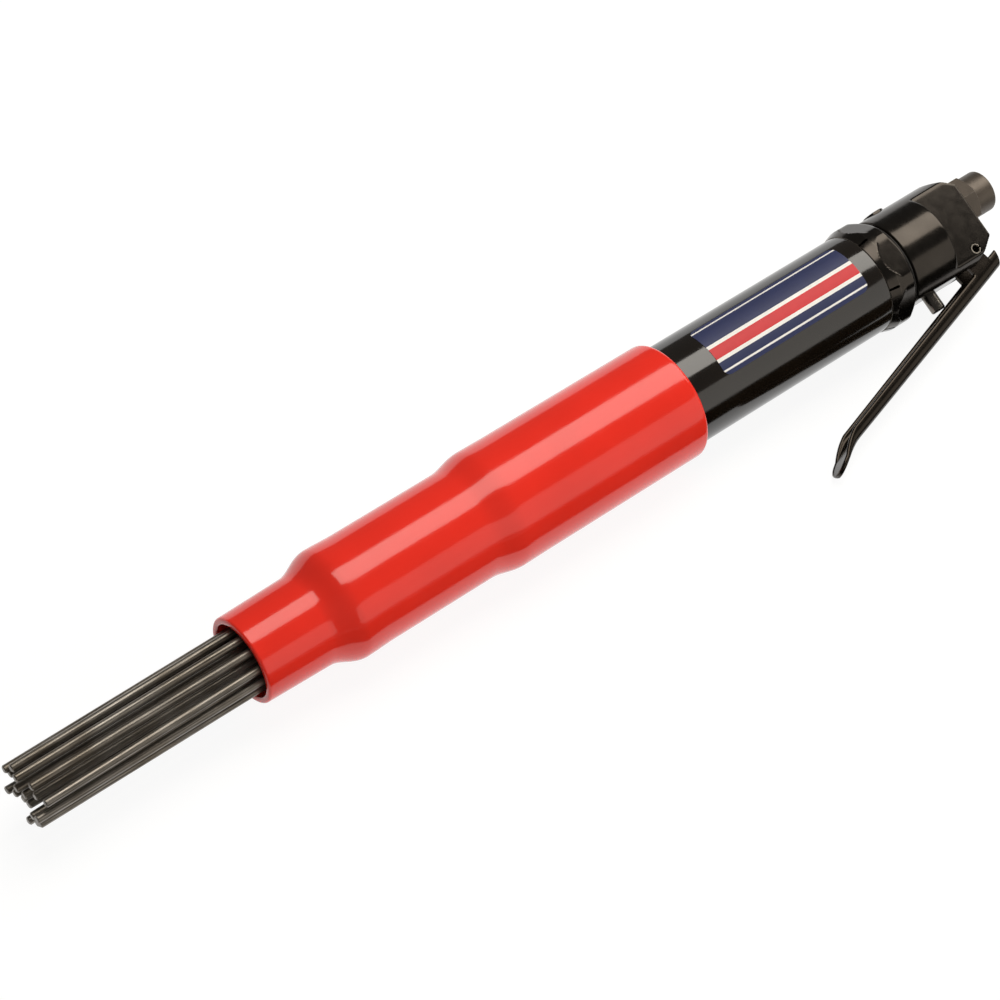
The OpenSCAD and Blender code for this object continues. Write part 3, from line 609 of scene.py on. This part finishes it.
class SCALER_OT_coupling_nut(bpy.types.Operator):
    """Makes the coupling nut with its spanner flats and slits, and the rubber ring behind it"""
    bl_idname = "scaler.coupling_nut"
    bl_label = "Coupling nut"

    def execute(self, context):
        s = sizes()
        neck = s.barrel_r - NECK_STEP + FIT
        flat = s.nut_r - s.nut_flat
        front, rear, flange = NUT_X + 4.2 * MM, NUT_END_X - 1.5 * MM, NUT_END_X - 1.9 * MM
        front_r, rear_r, flange_r = s.nut_r - 1.3 * MM, s.nut_r - 1.5 * MM, neck - 2.4 * MM
        outline = rounded([(NUT_X, neck), (NUT_X, front_r), (front, s.nut_r), (rear, s.nut_r), (NUT_END_X, rear_r),
                           (NUT_END_X, flange_r), (flange, flange_r), (flange, neck)],
                          [0, 0.3, 0.5, 0.4, 0.4, 0, 0, 0], steps=5)
        flat_front, flat_bulge, flat_reach, run_in, sharp = NUT_X + 2.7 * MM, 3.8 * MM, 0.4, 0.06 * MM, 90
        slit_half, slit_r = 0.45 * MM, s.nut_r - 2.2 * MM

        def shape(i, x, radius, angle):
            if radius < neck + 0.2 * MM:
                return radius
            local = from_flat(angle)
            r = radius
            # each flat begins on an arc that bulges forwards, so it shows as a lens
            begins = flat_front + flat_bulge * (local / flat_reach) ** 2
            if x > begins - 0.5 * MM and abs(local) < flat_reach + 0.05:
                lead = 1 / (1 + math.exp(-(x - begins) / run_in))
                r = radius + lead * (soft_min([radius, flat / math.cos(local)], sharp) - radius)
            # slit midway between two flats, in the front chamfer only
            away = (SIXTH / 2 - abs(local)) * radius
            if x < front - 0.1 * MM and away < slit_half:
                r = min(r, slit_r)
            return r

        finish_piece(turned(fine(outline, 0.45), loop=True, shape=shape, segments=720), "coupling_nut_ring", "tool",
                     black_oxide(), ["coupling_nut"], smooth=30.0)
        inner, outer = s.barrel_r - 4.3 * MM, s.head_r - 0.7 * MM
        seal = rounded([(NUT_END_X, inner), (NUT_END_X, outer), (HEAD_X, outer), (HEAD_X, inner)], [0, 0.5, 0.5, 0])
        finish_piece(turned(seal, loop=True), "head_seal_ring", "tool", nitrile_rubber(), ["head_seal"])
        return {"FINISHED"}


class SCALER_OT_rear_head(bpy.types.Operator):
    """Makes the throttle head: round part, flat-sided tongue, sloped rear corners, clevis slot and drilled holes"""
    bl_idname = "scaler.rear_head"
    bl_label = "Rear head"

    def execute(self, context):
        s = sizes()
        tongue = HEAD_END_X - s.tongue_len
        neck = s.barrel_r - 4.35 * MM
        # the slopes at the rear end: how far along they reach, and how far in they go
        low_len, low_fall, top_len, top_fall = 9.0 * MM, 6.5 * MM, 9.5 * MM, 7.2 * MM
        angles = [TURN * k / 256 for k in range(256)]
        rings = []

        def radius_at(x, angle, with_flats, inset=0.0):
            """Radius at which the ray of this angle meets the nearest face of the head."""
            pin, lever = math.cos(angle), math.sin(angle)
            faces = [s.head_r]
            if with_flats and abs(pin) > TINY:
                faces.append(s.tongue_w / 2 / abs(pin))
            if lever > TINY:
                slope = max(0.0, x - (HEAD_END_X - low_len)) * low_fall / low_len
                faces += [s.under_drop / lever, (s.under_drop - slope) / lever]
            if lever < -TINY:
                slope = max(0.0, x - (HEAD_END_X - top_len)) * top_fall / top_len
                faces.append((s.head_r - slope) / -lever)
            return soft_min(faces, 80) - inset

        def ring(x, rule):
            rings.append([at(x, r * math.sin(a), r * math.cos(a)) for a, r in [(a, rule(a)) for a in angles]])

        def row(first, last, steps, with_flats):
            for k in range(1, steps + 1):
                x = first + (last - first) * k / steps
                ring(x, lambda a: radius_at(x, a, with_flats))

        def full(a):
            return radius_at(tongue, a, False)

        def flat(a):
            return radius_at(tongue, a, True)

        # from the front: neck, rounded front edge, round part, step to the tongue, tongue, rounded rear edge
        ring(NECK_X, lambda a: neck)
        ring(HEAD_X, lambda a: neck)
        for behind, inset in ((0.0, 0.7), (0.15, 0.35), (0.5, 0.07)):
            x = HEAD_X + behind * MM
            ring(x, lambda a: radius_at(x, a, False, inset * MM))
        row(HEAD_X + 0.8 * MM, tongue - 0.5 * MM, 22, False)
        ring(tongue - 0.12 * MM, lambda a: max(flat(a), full(a) - 0.15 * MM))
        ring(tongue, lambda a: max(flat(a), full(a) - 0.5 * MM))
        ring(tongue, lambda a: min(full(a), flat(a) + 0.4 * MM))
        ring(tongue + 0.12 * MM, lambda a: min(full(a), flat(a) + 0.12 * MM))
        row(tongue + 0.4 * MM, HEAD_END_X - 0.4 * MM, 48, True)
        for before, inset in ((0.1, 0.12), (0.0, 0.4)):
            ring(HEAD_END_X - before * MM, lambda a: radius_at(HEAD_END_X, a, True, inset * MM))

        pin_lever = (PIN_AT - at(PIN_AT.x)).dot(LEVERWARD)
        reach = s.ear_r + 0.4 * MM
        far = 60 * MM
        cutters = [block(at(PIN_AT.x - reach - 1.5 * MM, pin_lever - reach, -s.slot_w / 2), far, far, s.slot_w)]
        # pin hole, stem hole and plug hole: where each starts, its radius, a point on it and its direction
        for start, radius, place, axis in ((-40, s.pin_d / 2 + 0.06 * MM, PIN_AT, PINWARD),
                                           (8, s.stem_d / 2 + 0.12 * MM, at(STEM_X), LEVERWARD),
                                           (15, PLUG_R + 0.07 * MM, at(STEM_X), -LEVERWARD)):
            cutters.append(turned([(start * MM, radius), (40 * MM, radius)], segments=64, place=place, axis=axis,
                                  start=ALONG))
        finish_piece(cut_away(loft(rings), cutters), "throttle_head", "tool", black_oxide(),
                     ["rear_head"], smooth=32.0)
        return {"FINISHED"}


class SCALER_OT_throttle(bpy.types.Operator):
    """Makes the push stem, the plug with its key socket and the split roll pin"""
    bl_idname = "scaler.throttle"
    bl_label = "Stem, plug and pin"

    def execute(self, context):
        s = sizes()
        r = s.stem_d / 2
        place = at(STEM_X)
        reach = max((v.co - place).dot(LEVERWARD) for v in frame["nodes"]["throttle_stem"].data.vertices)
        outline = rounded([(0.0, r), (reach, r), (reach, 0.6 * MM)], [0, 0.9, 0], steps=10, closed=False)
        finish_piece(turned(fine(outline, 2), segments=96, place=place, axis=LEVERWARD, start=ALONG), "push_stem",
                     "valve", plain_metal("ground_steel", "#77726B", 0.2), ["throttle_stem"])

        top = max((v.co - place).dot(-LEVERWARD) for v in frame["nodes"]["valve_plug"].data.vertices)
        key = 2.0 * MM
        # down the outside, over the rim and into the key socket: depth below the top, radius
        outline = [(top - depth * MM, radius) for depth, radius in (
            (6.0, PLUG_R), (0.45, PLUG_R), (0.12, 4.2 * MM), (0.0, 3.9 * MM), (0.0, key + 0.75 * MM), (0.35, key),
            (3.0, key), (3.4, 0.4 * MM))]

        def socket(i, along, radius, angle):
            return radius / math.cos(from_flat(angle)) if radius == key else radius

        finish_piece(turned(outline, shape=socket, segments=96, place=place, axis=-LEVERWARD, start=ALONG),
                     "chamber_plug", "tool", black_oxide(), ["valve_plug"], smooth=30.0)

        # split roll pin: a C section whose slit faces away from the lever's front, with chamfered ends
        outer, wall, half = s.pin_d / 2, s.pin_d / 5, s.tongue_w / 2
        across = PINWARD.cross(ALONG)
        gap = wall / 2 / outer
        angles = [gap + (TURN - 2 * gap) * k / 60 for k in range(61)]

        def section(along, share):
            """Ring of the C section, with that share of the full wall."""
            low, high = outer - wall / 2 - wall / 2 * share, outer - wall / 2 + wall / 2 * share
            points = [(high, a) for a in angles] + [(low, a) for a in angles[::-1]]
            return [PIN_AT + PINWARD * along + (ALONG * math.cos(a) + across * math.sin(a)) * q for q, a in points]

        chamfer = [(half, 0.45), (half - 0.25 * MM, 0.9), (half - 0.5 * MM, 1.0)]
        rings = [section(-along, share) for along, share in chamfer]
        rings += [section(along, share) for along, share in chamfer[::-1]]
        finish_piece(loft(rings), "roll_pin", "tool", plain_metal("spring_pin_steel", "#8C867D", 0.3),
                     ["lever_pin"])
        return {"FINISHED"}


class SCALER_OT_lever(bpy.types.Operator):
    """Makes the sheet-steel channel lever: rounded spine, ears on the pin, pressed pad and dished spoon tip"""
    bl_idname = "scaler.lever"
    bl_label = "Throttle lever"

    def execute(self, context):
        s = sizes()
        sheet, half = s.lever_sheet, s.lever_sheet / 2
        forward = -ALONG * math.cos(s.lever_angle) + LEVERWARD * math.sin(s.lever_angle)
        down = ALONG * math.sin(s.lever_angle) + LEVERWARD * math.cos(s.lever_angle)
        floor = s.lever_drop + s.lever_depth - half
        side = s.lever_w / 2 - half
        edge = s.lever_drop + half
        ear = s.ear_r - half
        spine_bend = 3.2 * MM - half
        tail_lean, lean_len, fillet_r, slope_run = 2.4 * MM, 6 * MM, 0.9 * MM, 6 * MM
        rings = []

        def section(width, top, bend):
            """Ring round the sheet: outside, one edge, inside, other edge, as (depth, across) points."""
            bend = min(bend, width * 0.9)
            top = min(top, floor - bend - 10 * TINY)
            path = [(top + (floor - bend - top) * k / 8, -width) for k in range(8)]
            path += [(floor - bend + bend * math.sin(a), -width + bend - bend * math.cos(a)) for a in quarter(8)]
            path += [(floor, (width - bend) * (k / 5 - 1)) for k in range(1, 5)]
            path += [(floor, 0.0)] + [(depth, -across) for depth, across in path[::-1]]
            ways = [Vector((after[0] - before[0], after[1] - before[1])).normalized()
                    for before, after in zip(path[:1] + path, path[1:] + path[-1:])]
            path = [Vector(point) for point in path]
            normals = [Vector((-way.y, way.x)) for way in ways]
            outer = [point - normal * half for point, normal in zip(path, normals)]
            inner = [point + normal * half for point, normal in zip(path, normals)]
            turns = [math.radians(q) for q in (30, 60, 90, 120, 150)]
            tail = [path[-1] - normals[-1] * half * math.cos(q) + ways[-1] * half * math.sin(q) for q in turns]
            lead = [path[0] + normals[0] * half * math.cos(q) - ways[0] * half * math.sin(q) for q in turns]
            return outer + tail + inner[::-1] + lead

        def deeper(station):
            return s.lever_taper * min(1.0, 1 - station / s.lever_len)

        def straight(station, top):
            """Ring of the straight channel, whose walls reach up to top; the tail's end leans forwards."""
            lean = tail_lean * max(0.0, 1 - (station + s.lever_tail) / lean_len)
            ring = []
            for depth, across in section(side, top, spine_bend):
                share = min(1.0, max(0.0, (depth - s.lever_drop) / s.lever_depth))
                ring.append(PIN_AT + forward * (station + lean * share) + down * (depth + deeper(station) * share)
                            + PINWARD * across)
            rings.append(ring)

        # from the tail: low walls, fillet, round ears on the pin, slope down, low walls up to the spoon
        for k in range(5):
            straight(-s.lever_tail + (s.lever_tail - ear - fillet_r) * k / 5, edge)
        for away, rise in ((0.9, 0.0), (0.4, 0.12), (0.15, 0.4), (0.0, 0.9)):
            straight(-ear - away * MM, edge - rise * MM)
        for k in range(25):
            angle = math.pi * k / 24
            straight(-ear * math.cos(angle), -ear * math.sin(angle))
        foot = ear + s.ear_gusset
        slope = rounded([(ear, 0.0), (foot, edge), (foot + slope_run, edge)], [0, 1.0, 0], closed=False)
        for station, top in fine(slope, 1.2)[1:]:
            straight(station, top)
        first = foot + slope_run
        for k in range(1, 41):
            straight(first + (s.lever_len - first) * k / 40, edge)

        # spoon: the channel bends away from the tool, its walls get lower and close round its end
        walls_end, walls_fall = 0.66, 1.15
        mean = s.spoon_r - s.lever_depth + half
        arc_len = mean * s.spoon_angle
        end = s.lever_w / 2
        stations = [(arc_len - end) * k / 16 for k in range(1, 17)]
        stations += [arc_len - end + end * math.sin(math.radians(q)) for q in range(8, 89, 8)]
        for run in stations:
            beta = run / mean
            top = edge + (s.lever_depth - sheet) * min(1.0, run / arc_len / walls_end) ** walls_fall
            bend = min(spine_bend, max(0.3 * MM, floor - top - 0.05 * MM))
            over = max(0.0, run - (arc_len - end))
            width = max(side * math.sqrt(max(0.0, 1 - (over / end) ** 2)), 0.25 * MM)
            ring = []
            for depth, across in section(width, top, bend):
                rho = s.spoon_r + s.lever_drop - depth
                ring.append(PIN_AT + forward * (s.lever_len + rho * math.sin(beta))
                            + down * (s.lever_drop + s.spoon_r - rho * math.cos(beta)) + PINWARD * across)
            rings.append(ring)
        finish = black_oxide("blackened_sheet_steel", linear("#322D28"), 0.24, (0.6, 5.0, 5.0))
        finish_piece(loft(rings), "channel_lever", "lever", finish, ["throttle_lever"], smooth=42.0)

        # pressed pad that meets the stem
        pad_y, pad_r = s.lever_drop + 1.6 * MM, 2.5 * MM
        pad_x = (PIN_AT.x - STEM_X) / math.cos(s.lever_angle) + pad_y * math.tan(s.lever_angle) / 2
        seat = s.lever_drop + s.lever_depth + deeper(pad_x) - sheet + 0.3 * MM
        outline = rounded([(seat, pad_r), (pad_y, pad_r), (pad_y, 0.5 * MM)], [0, 0.7, 0], closed=False)
        finish_piece(turned(outline, segments=64, place=PIN_AT + forward * pad_x, axis=down), "lever_pad", "lever",
                     finish)
        return {"FINISHED"}


class SCALER_OT_inlet(bpy.types.Operator):
    """Makes the inlet bush: chamfered hexagon, round collar and a cut internal thread"""
    bl_idname = "scaler.inlet"
    bl_label = "Air inlet"

    def execute(self, context):
        s = sizes()
        hex_end = HEAD_END_X + s.inlet_hex_len
        thread_end = INLET_X - 12 * MM
        spigot_x, spigot_r, bore_r = HEAD_END_X - 2 * MM, 5.4 * MM, 4.0 * MM
        lead_in, thread_depth, mouth_depth, crest = 1.2 * MM, 0.75 * MM, 0.9 * MM, 1.25
        hex_steps, thread_steps = 40, 96
        outside = [(spigot_x, spigot_r), (HEAD_END_X, spigot_r), (HEAD_END_X, s.inlet_hex / 2 - 0.3 * MM)]
        hex_first = len(outside)
        outside += [(HEAD_END_X + s.inlet_hex_len * k / hex_steps, s.inlet_hex) for k in range(hex_steps + 1)]
        collar = rounded([(hex_end, s.collar_r), (INLET_X, s.collar_r), (INLET_X, s.thread_r + 1.1 * MM)],
                         [0, 0.6, 0], closed=False)
        outside += fine(collar, 1)
        thread_first = len(outside)
        inside = [(INLET_X + (thread_end - INLET_X) * k / thread_steps, s.thread_r) for k in range(thread_steps + 1)]
        inside += [(thread_end, bore_r), (spigot_x, bore_r)]

        def shape(i, x, radius, angle):
            if hex_first <= i <= hex_first + hex_steps:
                flat = s.inlet_hex / 2 / math.cos(from_flat(angle - SIXTH / 2))
                cone = s.inlet_hex / 2 + 0.25 * MM + min(x - HEAD_END_X, hex_end - x) / math.tan(math.radians(30))
                return soft_min([flat, cone], 80)
            if thread_first <= i <= thread_first + thread_steps:
                turn = ((x - thread_end) / s.thread_pitch + angle / TURN) % 1.0
                cut = min(1.0, (1 - abs(2 * turn - 1)) * crest)
                run_in = min(1.0, max(0.0, (x - INLET_X + lead_in) / lead_in))
                return radius + thread_depth * cut * (1 - run_in) + mouth_depth * run_in
            return radius

        mesh = turned(outside + inside, loop=True, shape=shape, segments=180, place=at(0.0, -s.inlet_offset))
        finish_piece(mesh, "inlet_bush_ring", "tool",
                     black_oxide("phosphated_inlet_steel", linear("#544C44"), 0.42, metallic=0.6), ["inlet_bush"],
                     smooth=34.0)
        return {"FINISHED"}


class SCALER_OT_needles(bpy.types.Operator):
    """Grows the nineteen needles, each along its own leaning axis, from one Geometry Nodes tree"""
    bl_idname = "scaler.needles"
    bl_label = "Needles"

    def make_tree(self, material):
        tree, given = new_tree("needle", {
            "Length": 180 * MM, "Shank radius": 1.5 * MM, "Head radius": 2.35 * MM, "Head length": 3 * MM,
            "Tip chamfer": 0.35 * MM, "Wear": 0.1 * MM, "Seed": 0.0})
        value = {socket.name: socket for socket in given}
        for name, operation, a, b in (
                ("tip", "SUBTRACT", "Shank radius", "Tip chamfer"), ("head at", "SUBTRACT", "Length", "Head length"),
                ("soft", "MULTIPLY", "Head length", 0.15), ("shank run", "SUBTRACT", "head at", "Tip chamfer"),
                ("two soft", "MULTIPLY", "soft", 2.0), ("head run", "SUBTRACT", "Head length", "two soft"),
                ("head front", "ADD", "head at", "soft"), ("crown", "MULTIPLY", "Head radius", 0.85),
                ("crown at", "SUBTRACT", "Length", "soft"), ("scatter", "MULTIPLY", "Wear", 4.0)):
            value[name] = add(tree, "ShaderNodeMath", {0: value.get(a, a), 1: value.get(b, b)},
                              operation=operation).outputs[0]
        shells = []
        for low, high, depth, start, segments in (
                ("tip", "Shank radius", "Tip chamfer", 0.0, 2),
                ("Shank radius", "Shank radius", "shank run", "Tip chamfer", 60),
                ("Shank radius", "Head radius", "soft", "head at", 2),
                ("Head radius", "Head radius", "head run", "head front", 3),
                ("Head radius", "crown", "soft", "crown at", 2)):
            shells.append((start, add(tree, "GeometryNodeMeshCone", {
                "Vertices": 32, "Side Segments": segments, "Radius Bottom": value[low], "Radius Top": value[high],
                "Depth": value[depth]}, fill_type="NONE")))
        for radius, start in (("tip", 0.0), ("crown", "Length")):
            shells.append((start, add(tree, "GeometryNodeMeshCircle", {"Vertices": 32, "Radius": value[radius]},
                                      fill_type="NGON")))
        join = add(tree, "GeometryNodeJoinGeometry")
        for start, shell in shells:
            place = add(tree, "ShaderNodeCombineXYZ", {"Z": value.get(start, start)})
            moved = add(tree, "GeometryNodeTransform", {"Geometry": shell.outputs["Mesh"],
                                                        "Translation": place.outputs[0]})
            tree.links.new(moved.outputs[0], join.inputs[0])
        closed = add(tree, "GeometryNodeMergeByDistance", {"Geometry": join.outputs[0], "Distance": TINY})
        # hammered ends: the first millimetre and a half is pushed about by seeded noise of about 2 mm
        where = add(tree, "GeometryNodeInputPosition").outputs[0]
        height = add(tree, "ShaderNodeSeparateXYZ", {"Vector": where}).outputs["Z"]
        near = add(tree, "ShaderNodeMapRange", {"Value": height, "From Min": 0.0, "From Max": 1.5 * MM,
                                                "To Min": 1.0, "To Max": 0.0}).outputs[0]
        rough = add(tree, "ShaderNodeTexNoise", {"Vector": where, "W": value["Seed"], "Scale": 1 / (2 * MM),
                                                 "Detail": 1.0}, noise_dimensions="4D").outputs["Color"]
        centred = add(tree, "ShaderNodeVectorMath", {0: rough, 1: (0.5, 0.5, 0.5)}, operation="SUBTRACT").outputs[0]
        push = add(tree, "ShaderNodeMath", {0: near, 1: value["scatter"]}, operation="MULTIPLY").outputs[0]
        offset = add(tree, "ShaderNodeVectorMath", {0: centred, "Scale": push}, operation="SCALE").outputs[0]
        worn = add(tree, "GeometryNodeSetPosition", {"Geometry": closed.outputs[0], "Offset": offset})
        end_tree(tree, worn.outputs[0], material)
        return tree

    def execute(self, context):
        s = sizes()
        wire = needle_wire()
        tree = self.make_tree(wire)
        for number in range(1, 20):
            name = f"needle_{number:02d}"
            axis = Vector(JOINT[name + "_slide"]["axis"]).normalized()
            points = [v.co for v in frame["nodes"][name].data.vertices]
            runs = [p.dot(axis) for p in points]
            tip_ring = [p for p, run in zip(points, runs) if run < min(runs) + 10 * TINY]
            tip = Vector([(min(p[i] for p in tip_ring) + max(p[i] for p in tip_ring)) / 2 for i in range(3)])
            worn = WORN_NEEDLES.get(number, 0.0)
            mesh = grown(tree, {"Length": max(runs) - min(runs) - worn, "Shank radius": s.needle_d / 2,
                                "Head radius": s.needle_head_d / 2, "Head length": s.needle_head_len,
                                "Tip chamfer": 0.35 * MM, "Wear": 0.1 * MM, "Seed": float(number)})
            turn = axis.to_track_quat("Z", "Y").to_matrix().to_4x4()
            mesh.transform(Matrix.Translation(tip + axis * worn) @ turn)
            finish_piece(mesh, f"needle_wire_{number:02d}", name, wire, [name])
        return {"FINISHED"}


class SCALER_OT_springs(bpy.types.Operator):
    """Winds the return spring and the valve spring from one Geometry Nodes tree"""
    bl_idname = "scaler.springs"
    bl_label = "Springs"

    def execute(self, context):
        steel = plain_metal("drawn_spring_wire", "#77767A", 0.32)
        tree, given = new_tree("coil_spring", {"Wire": 2.4 * MM, "Mean radius": 15.5 * MM, "Turns": 5.0,
                                               "Height": 50 * MM})
        coil = add(tree, "GeometryNodeCurveSpiral", {
            "Resolution": 40, "Rotations": given["Turns"], "Start Radius": given["Mean radius"],
            "End Radius": given["Mean radius"], "Height": given["Height"]})
        half = add(tree, "ShaderNodeMath", {0: given["Wire"], 1: 0.5}, operation="MULTIPLY").outputs[0]
        wire = add(tree, "GeometryNodeCurvePrimitiveCircle", {"Resolution": 14, "Radius": half})
        tube = add(tree, "GeometryNodeCurveToMesh", {"Curve": coil.outputs[0], "Profile Curve": wire.outputs[0],
                                                     "Fill Caps": True})
        end_tree(tree, tube.outputs[0], steel)
        for node, joint, way, place, wire_d, mean_r in (
                ("return_spring", "holder_slide", -ALONG, at(0.0), 2.4 * MM, 15.5 * MM),
                ("valve_spring", "stem_push", -LEVERWARD, at(STEM_X), 0.9 * MM, 2.8 * MM)):
            runs = [v.co.dot(way) for v in frame["nodes"][node].data.vertices]
            length = max(runs) - min(runs)
            mesh = grown(tree, {"Wire": wire_d, "Mean radius": mean_r, "Turns": 5.0, "Height": length - wire_d})
            foot = place + way * (min(runs) + wire_d / 2 - place.dot(way))
            mesh.transform(Matrix.Translation(foot) @ way.to_track_quat("Z", "Y").to_matrix().to_4x4())
            piece = finish_piece(mesh, node + "_coil", "tool", steel, [node], smooth=60.0,
                                 edges=False)
            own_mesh(piece)
        return {"FINISHED"}


class SCALER_OT_inner_parts(bpy.types.Operator):
    """Gives the pieces inside the tool, which keep their CAD shapes, their metals"""
    bl_idname = "scaler.inner_parts"
    bl_label = "Inner parts"

    def execute(self, context):
        hard = plain_metal("hardened_ground_steel", "#85827E", 0.26)
        bronze = plain_metal("turned_bronze", "#A57A3E", 0.3, worn="#C79A57")
        steel = plain_metal("turned_steel", "#6F6C68", 0.34)
        gauze = plain_metal("strainer_gauze", "#9A958C", 0.4, lines=(40.0, 40.0, 40.0))
        for material, nodes in ((hard, ("anvil", "piston", "valve_disc", "chest_dowel")),
                                (bronze, ("anvil_bush", "throttle_valve", "valve_seat")),
                                (steel, ("needle_holder", "chest_front", "chest_rear")),
                                (nitrile_rubber(), ("stem_seal",)), (gauze, ("inlet_strainer",))):
            for node in nodes:
                slots = frame["nodes"][node].data.materials
                slots.clear()
                slots.append(material)
        return {"FINISHED"}


class SCALER_OT_stage(bpy.types.Operator):
    """Sets the pale floor, the soft studio lights and the camera of the picture"""
    bl_idname = "scaler.stage"
    bl_label = "Studio"

    def sheet(self, name, material, half, near, far, height):
        """Flat stage piece; near and far are its edges in front of and behind the tool."""
        mesh = bpy.data.meshes.new(name)
        mesh.from_pydata([(-half, near, height), (half, near, height), (half, far, height), (-half, far, height)], [],
                         [(0, 1, 2, 3)])
        mesh.materials.append(material)
        piece = placed(name, mesh)
        return piece

    def floor(self):
        """White paper: bright to the eye and in reflections, and it keeps the tool's shadow."""
        material, tree, shader = new_material("white_studio_paper")
        shader.inputs["Base Color"].default_value = linear("#F4F4F3")
        shader.inputs["Roughness"].default_value = 0.9
        light = add(tree, "ShaderNodeLightPath").outputs
        seen = light["Is Camera Ray"]
        for ray in ("Is Glossy Ray", "Is Transmission Ray"):
            seen = add(tree, "ShaderNodeMath", {0: seen, 1: light[ray]}, operation="MAXIMUM").outputs[0]
        share = add(tree, "ShaderNodeMath", {0: seen, 1: 0.86}, operation="MULTIPLY").outputs[0]
        white = add(tree, "ShaderNodeEmission", {"Color": linear("#FFFFFF"), "Strength": 1.05})
        mixed = add(tree, "ShaderNodeMixShader", {0: share, 1: shader.outputs[0], 2: white.outputs[0]})
        tree.links.new(mixed.outputs[0], tree.nodes["Material Output"].inputs["Surface"])
        self.sheet("studio_floor", material, 4.0, -4.0, 4.0, 0.0)

    def flag(self):
        """Black cloth in front of the tool, which only reflections see: the dark band low on the gloss."""
        material, tree, shader = new_material("black_flag_cloth")
        shader.inputs["Base Color"].default_value = linear("#0A0A0A")
        shader.inputs["Roughness"].default_value = 1.0
        shader.inputs["Specular IOR Level"].default_value = 0.0
        flag = self.sheet("black_flag", material, 2.0, -1.6, -0.045, 0.6 * MM)
        for ray in ("camera", "diffuse", "shadow", "transmission", "volume_scatter"):
            setattr(flag, "visible_" + ray, False)

    def lamp(self, name, place, wide, deep, watts, mirrored):
        """Soft rectangle of warm light, its long side along the tool, aimed at the tool's middle."""
        data = bpy.data.lights.new(name, "AREA")
        data.shape, data.size, data.size_y, data.energy = "RECTANGLE", wide, deep, watts
        data.color = (1.0, 0.955, 0.88)
        lamp = placed(name, data)
        lamp.visible_glossy = mirrored
        back = (Vector(place) - Vector((0.0, 0.0, 0.02))).normalized()
        side = (ALONG - back * ALONG.dot(back)).normalized()
        turn = Matrix((side, back.cross(side), back)).transposed()
        lamp.matrix_world = Matrix.Translation(place) @ turn.to_4x4()

    def camera(self):
        """Stands where the picture was taken from: turn round the tool, height and roll in degrees."""
        turn, rise, roll = math.radians(-47.99), math.radians(55.29), math.radians(10.95)
        distance, focal_px, image_px = 1.07, 3045.4, 1000.0
        target = Vector((-0.01941, 0.01841, 0.02173))
        back = Vector((math.sin(turn) * math.cos(rise), -math.cos(turn) * math.cos(rise), math.sin(rise)))
        level = Vector((math.cos(turn), math.sin(turn), 0.0))
        above = back.cross(level)
        right = level * math.cos(roll) + above * math.sin(roll)
        up = above * math.cos(roll) - level * math.sin(roll)
        data = bpy.data.cameras.new("picture")
        data.sensor_width = 36.0
        data.lens = focal_px * data.sensor_width / image_px
        data.clip_start, data.clip_end = 0.05, 20.0
        camera = placed("picture", data)
        facing = Matrix((right, up, back)).transposed().to_4x4()
        camera.matrix_world = Matrix.Translation(target + back * distance) @ facing
        bpy.context.scene.camera = camera

    def execute(self, context):
        self.floor()
        # the softbox gives the crisp band on the gloss, the fill a dimmer one, and the bounce no band at all
        self.lamp("overhead_softbox", (0.47, 0.23, 0.972), 1.7, 0.65, 14.8, True)
        self.lamp("front_fill", (0.47, -0.92, 0.42), 1.7, 0.75, 3.7, True)
        self.lamp("front_bounce", (-0.3, -0.95, 0.95), 1.5, 1.5, 4.0, False)
        self.flag()
        world = bpy.data.worlds.new("studio")
        bpy.context.scene.world = world
        world.use_nodes = True
        sky = world.node_tree.nodes["Background"]
        sky.inputs["Color"].default_value = (1.0, 0.985, 0.965, 1.0)
        sky.inputs["Strength"].default_value = 0.12
        bpy.context.scene.view_settings.view_transform = "Standard"
        self.camera()
        return {"FINISHED"}


class SCALER_PT_panel(bpy.types.Panel):
    """Lists the settings and the steps that make the tool"""
    bl_idname = "SCALER_PT_panel"
    bl_label = "Needle scaler"
    bl_space_type = "VIEW_3D"
    bl_region_type = "UI"
    bl_category = "Needle scaler"

    def draw(self, context):
        for group in (context.scene.scaler_sizes, context.scene.scaler_colours):
            box = self.layout.box()
            for key in group.__annotations__:
                box.prop(group, key)
        for step in STEPS:
            self.layout.operator(step.bl_idname)


STEPS = (SCALER_OT_front_tube, SCALER_OT_barrel, SCALER_OT_coupling_nut, SCALER_OT_rear_head, SCALER_OT_throttle,
         SCALER_OT_lever, SCALER_OT_inlet, SCALER_OT_needles, SCALER_OT_springs, SCALER_OT_inner_parts,
         SCALER_OT_stage)
CLASSES = (ScalerSizes, ScalerColours, *STEPS, SCALER_PT_panel)


def register():
    for cls in CLASSES:
        bpy.utils.register_class(cls)
    bpy.types.Scene.scaler_sizes = bpy.props.PointerProperty(type=ScalerSizes)
    bpy.types.Scene.scaler_colours = bpy.props.PointerProperty(type=ScalerColours)


def unregister():
    del bpy.types.Scene.scaler_colours
    del bpy.types.Scene.scaler_sizes
    for cls in reversed(CLASSES):
        bpy.utils.unregister_class(cls)


def main():
    register()
    for step in STEPS:
        getattr(bpy.ops.scaler, step.bl_idname.split(".")[1])()
    bpy.context.view_layer.update()


if __name__ == "__main__":
    main()
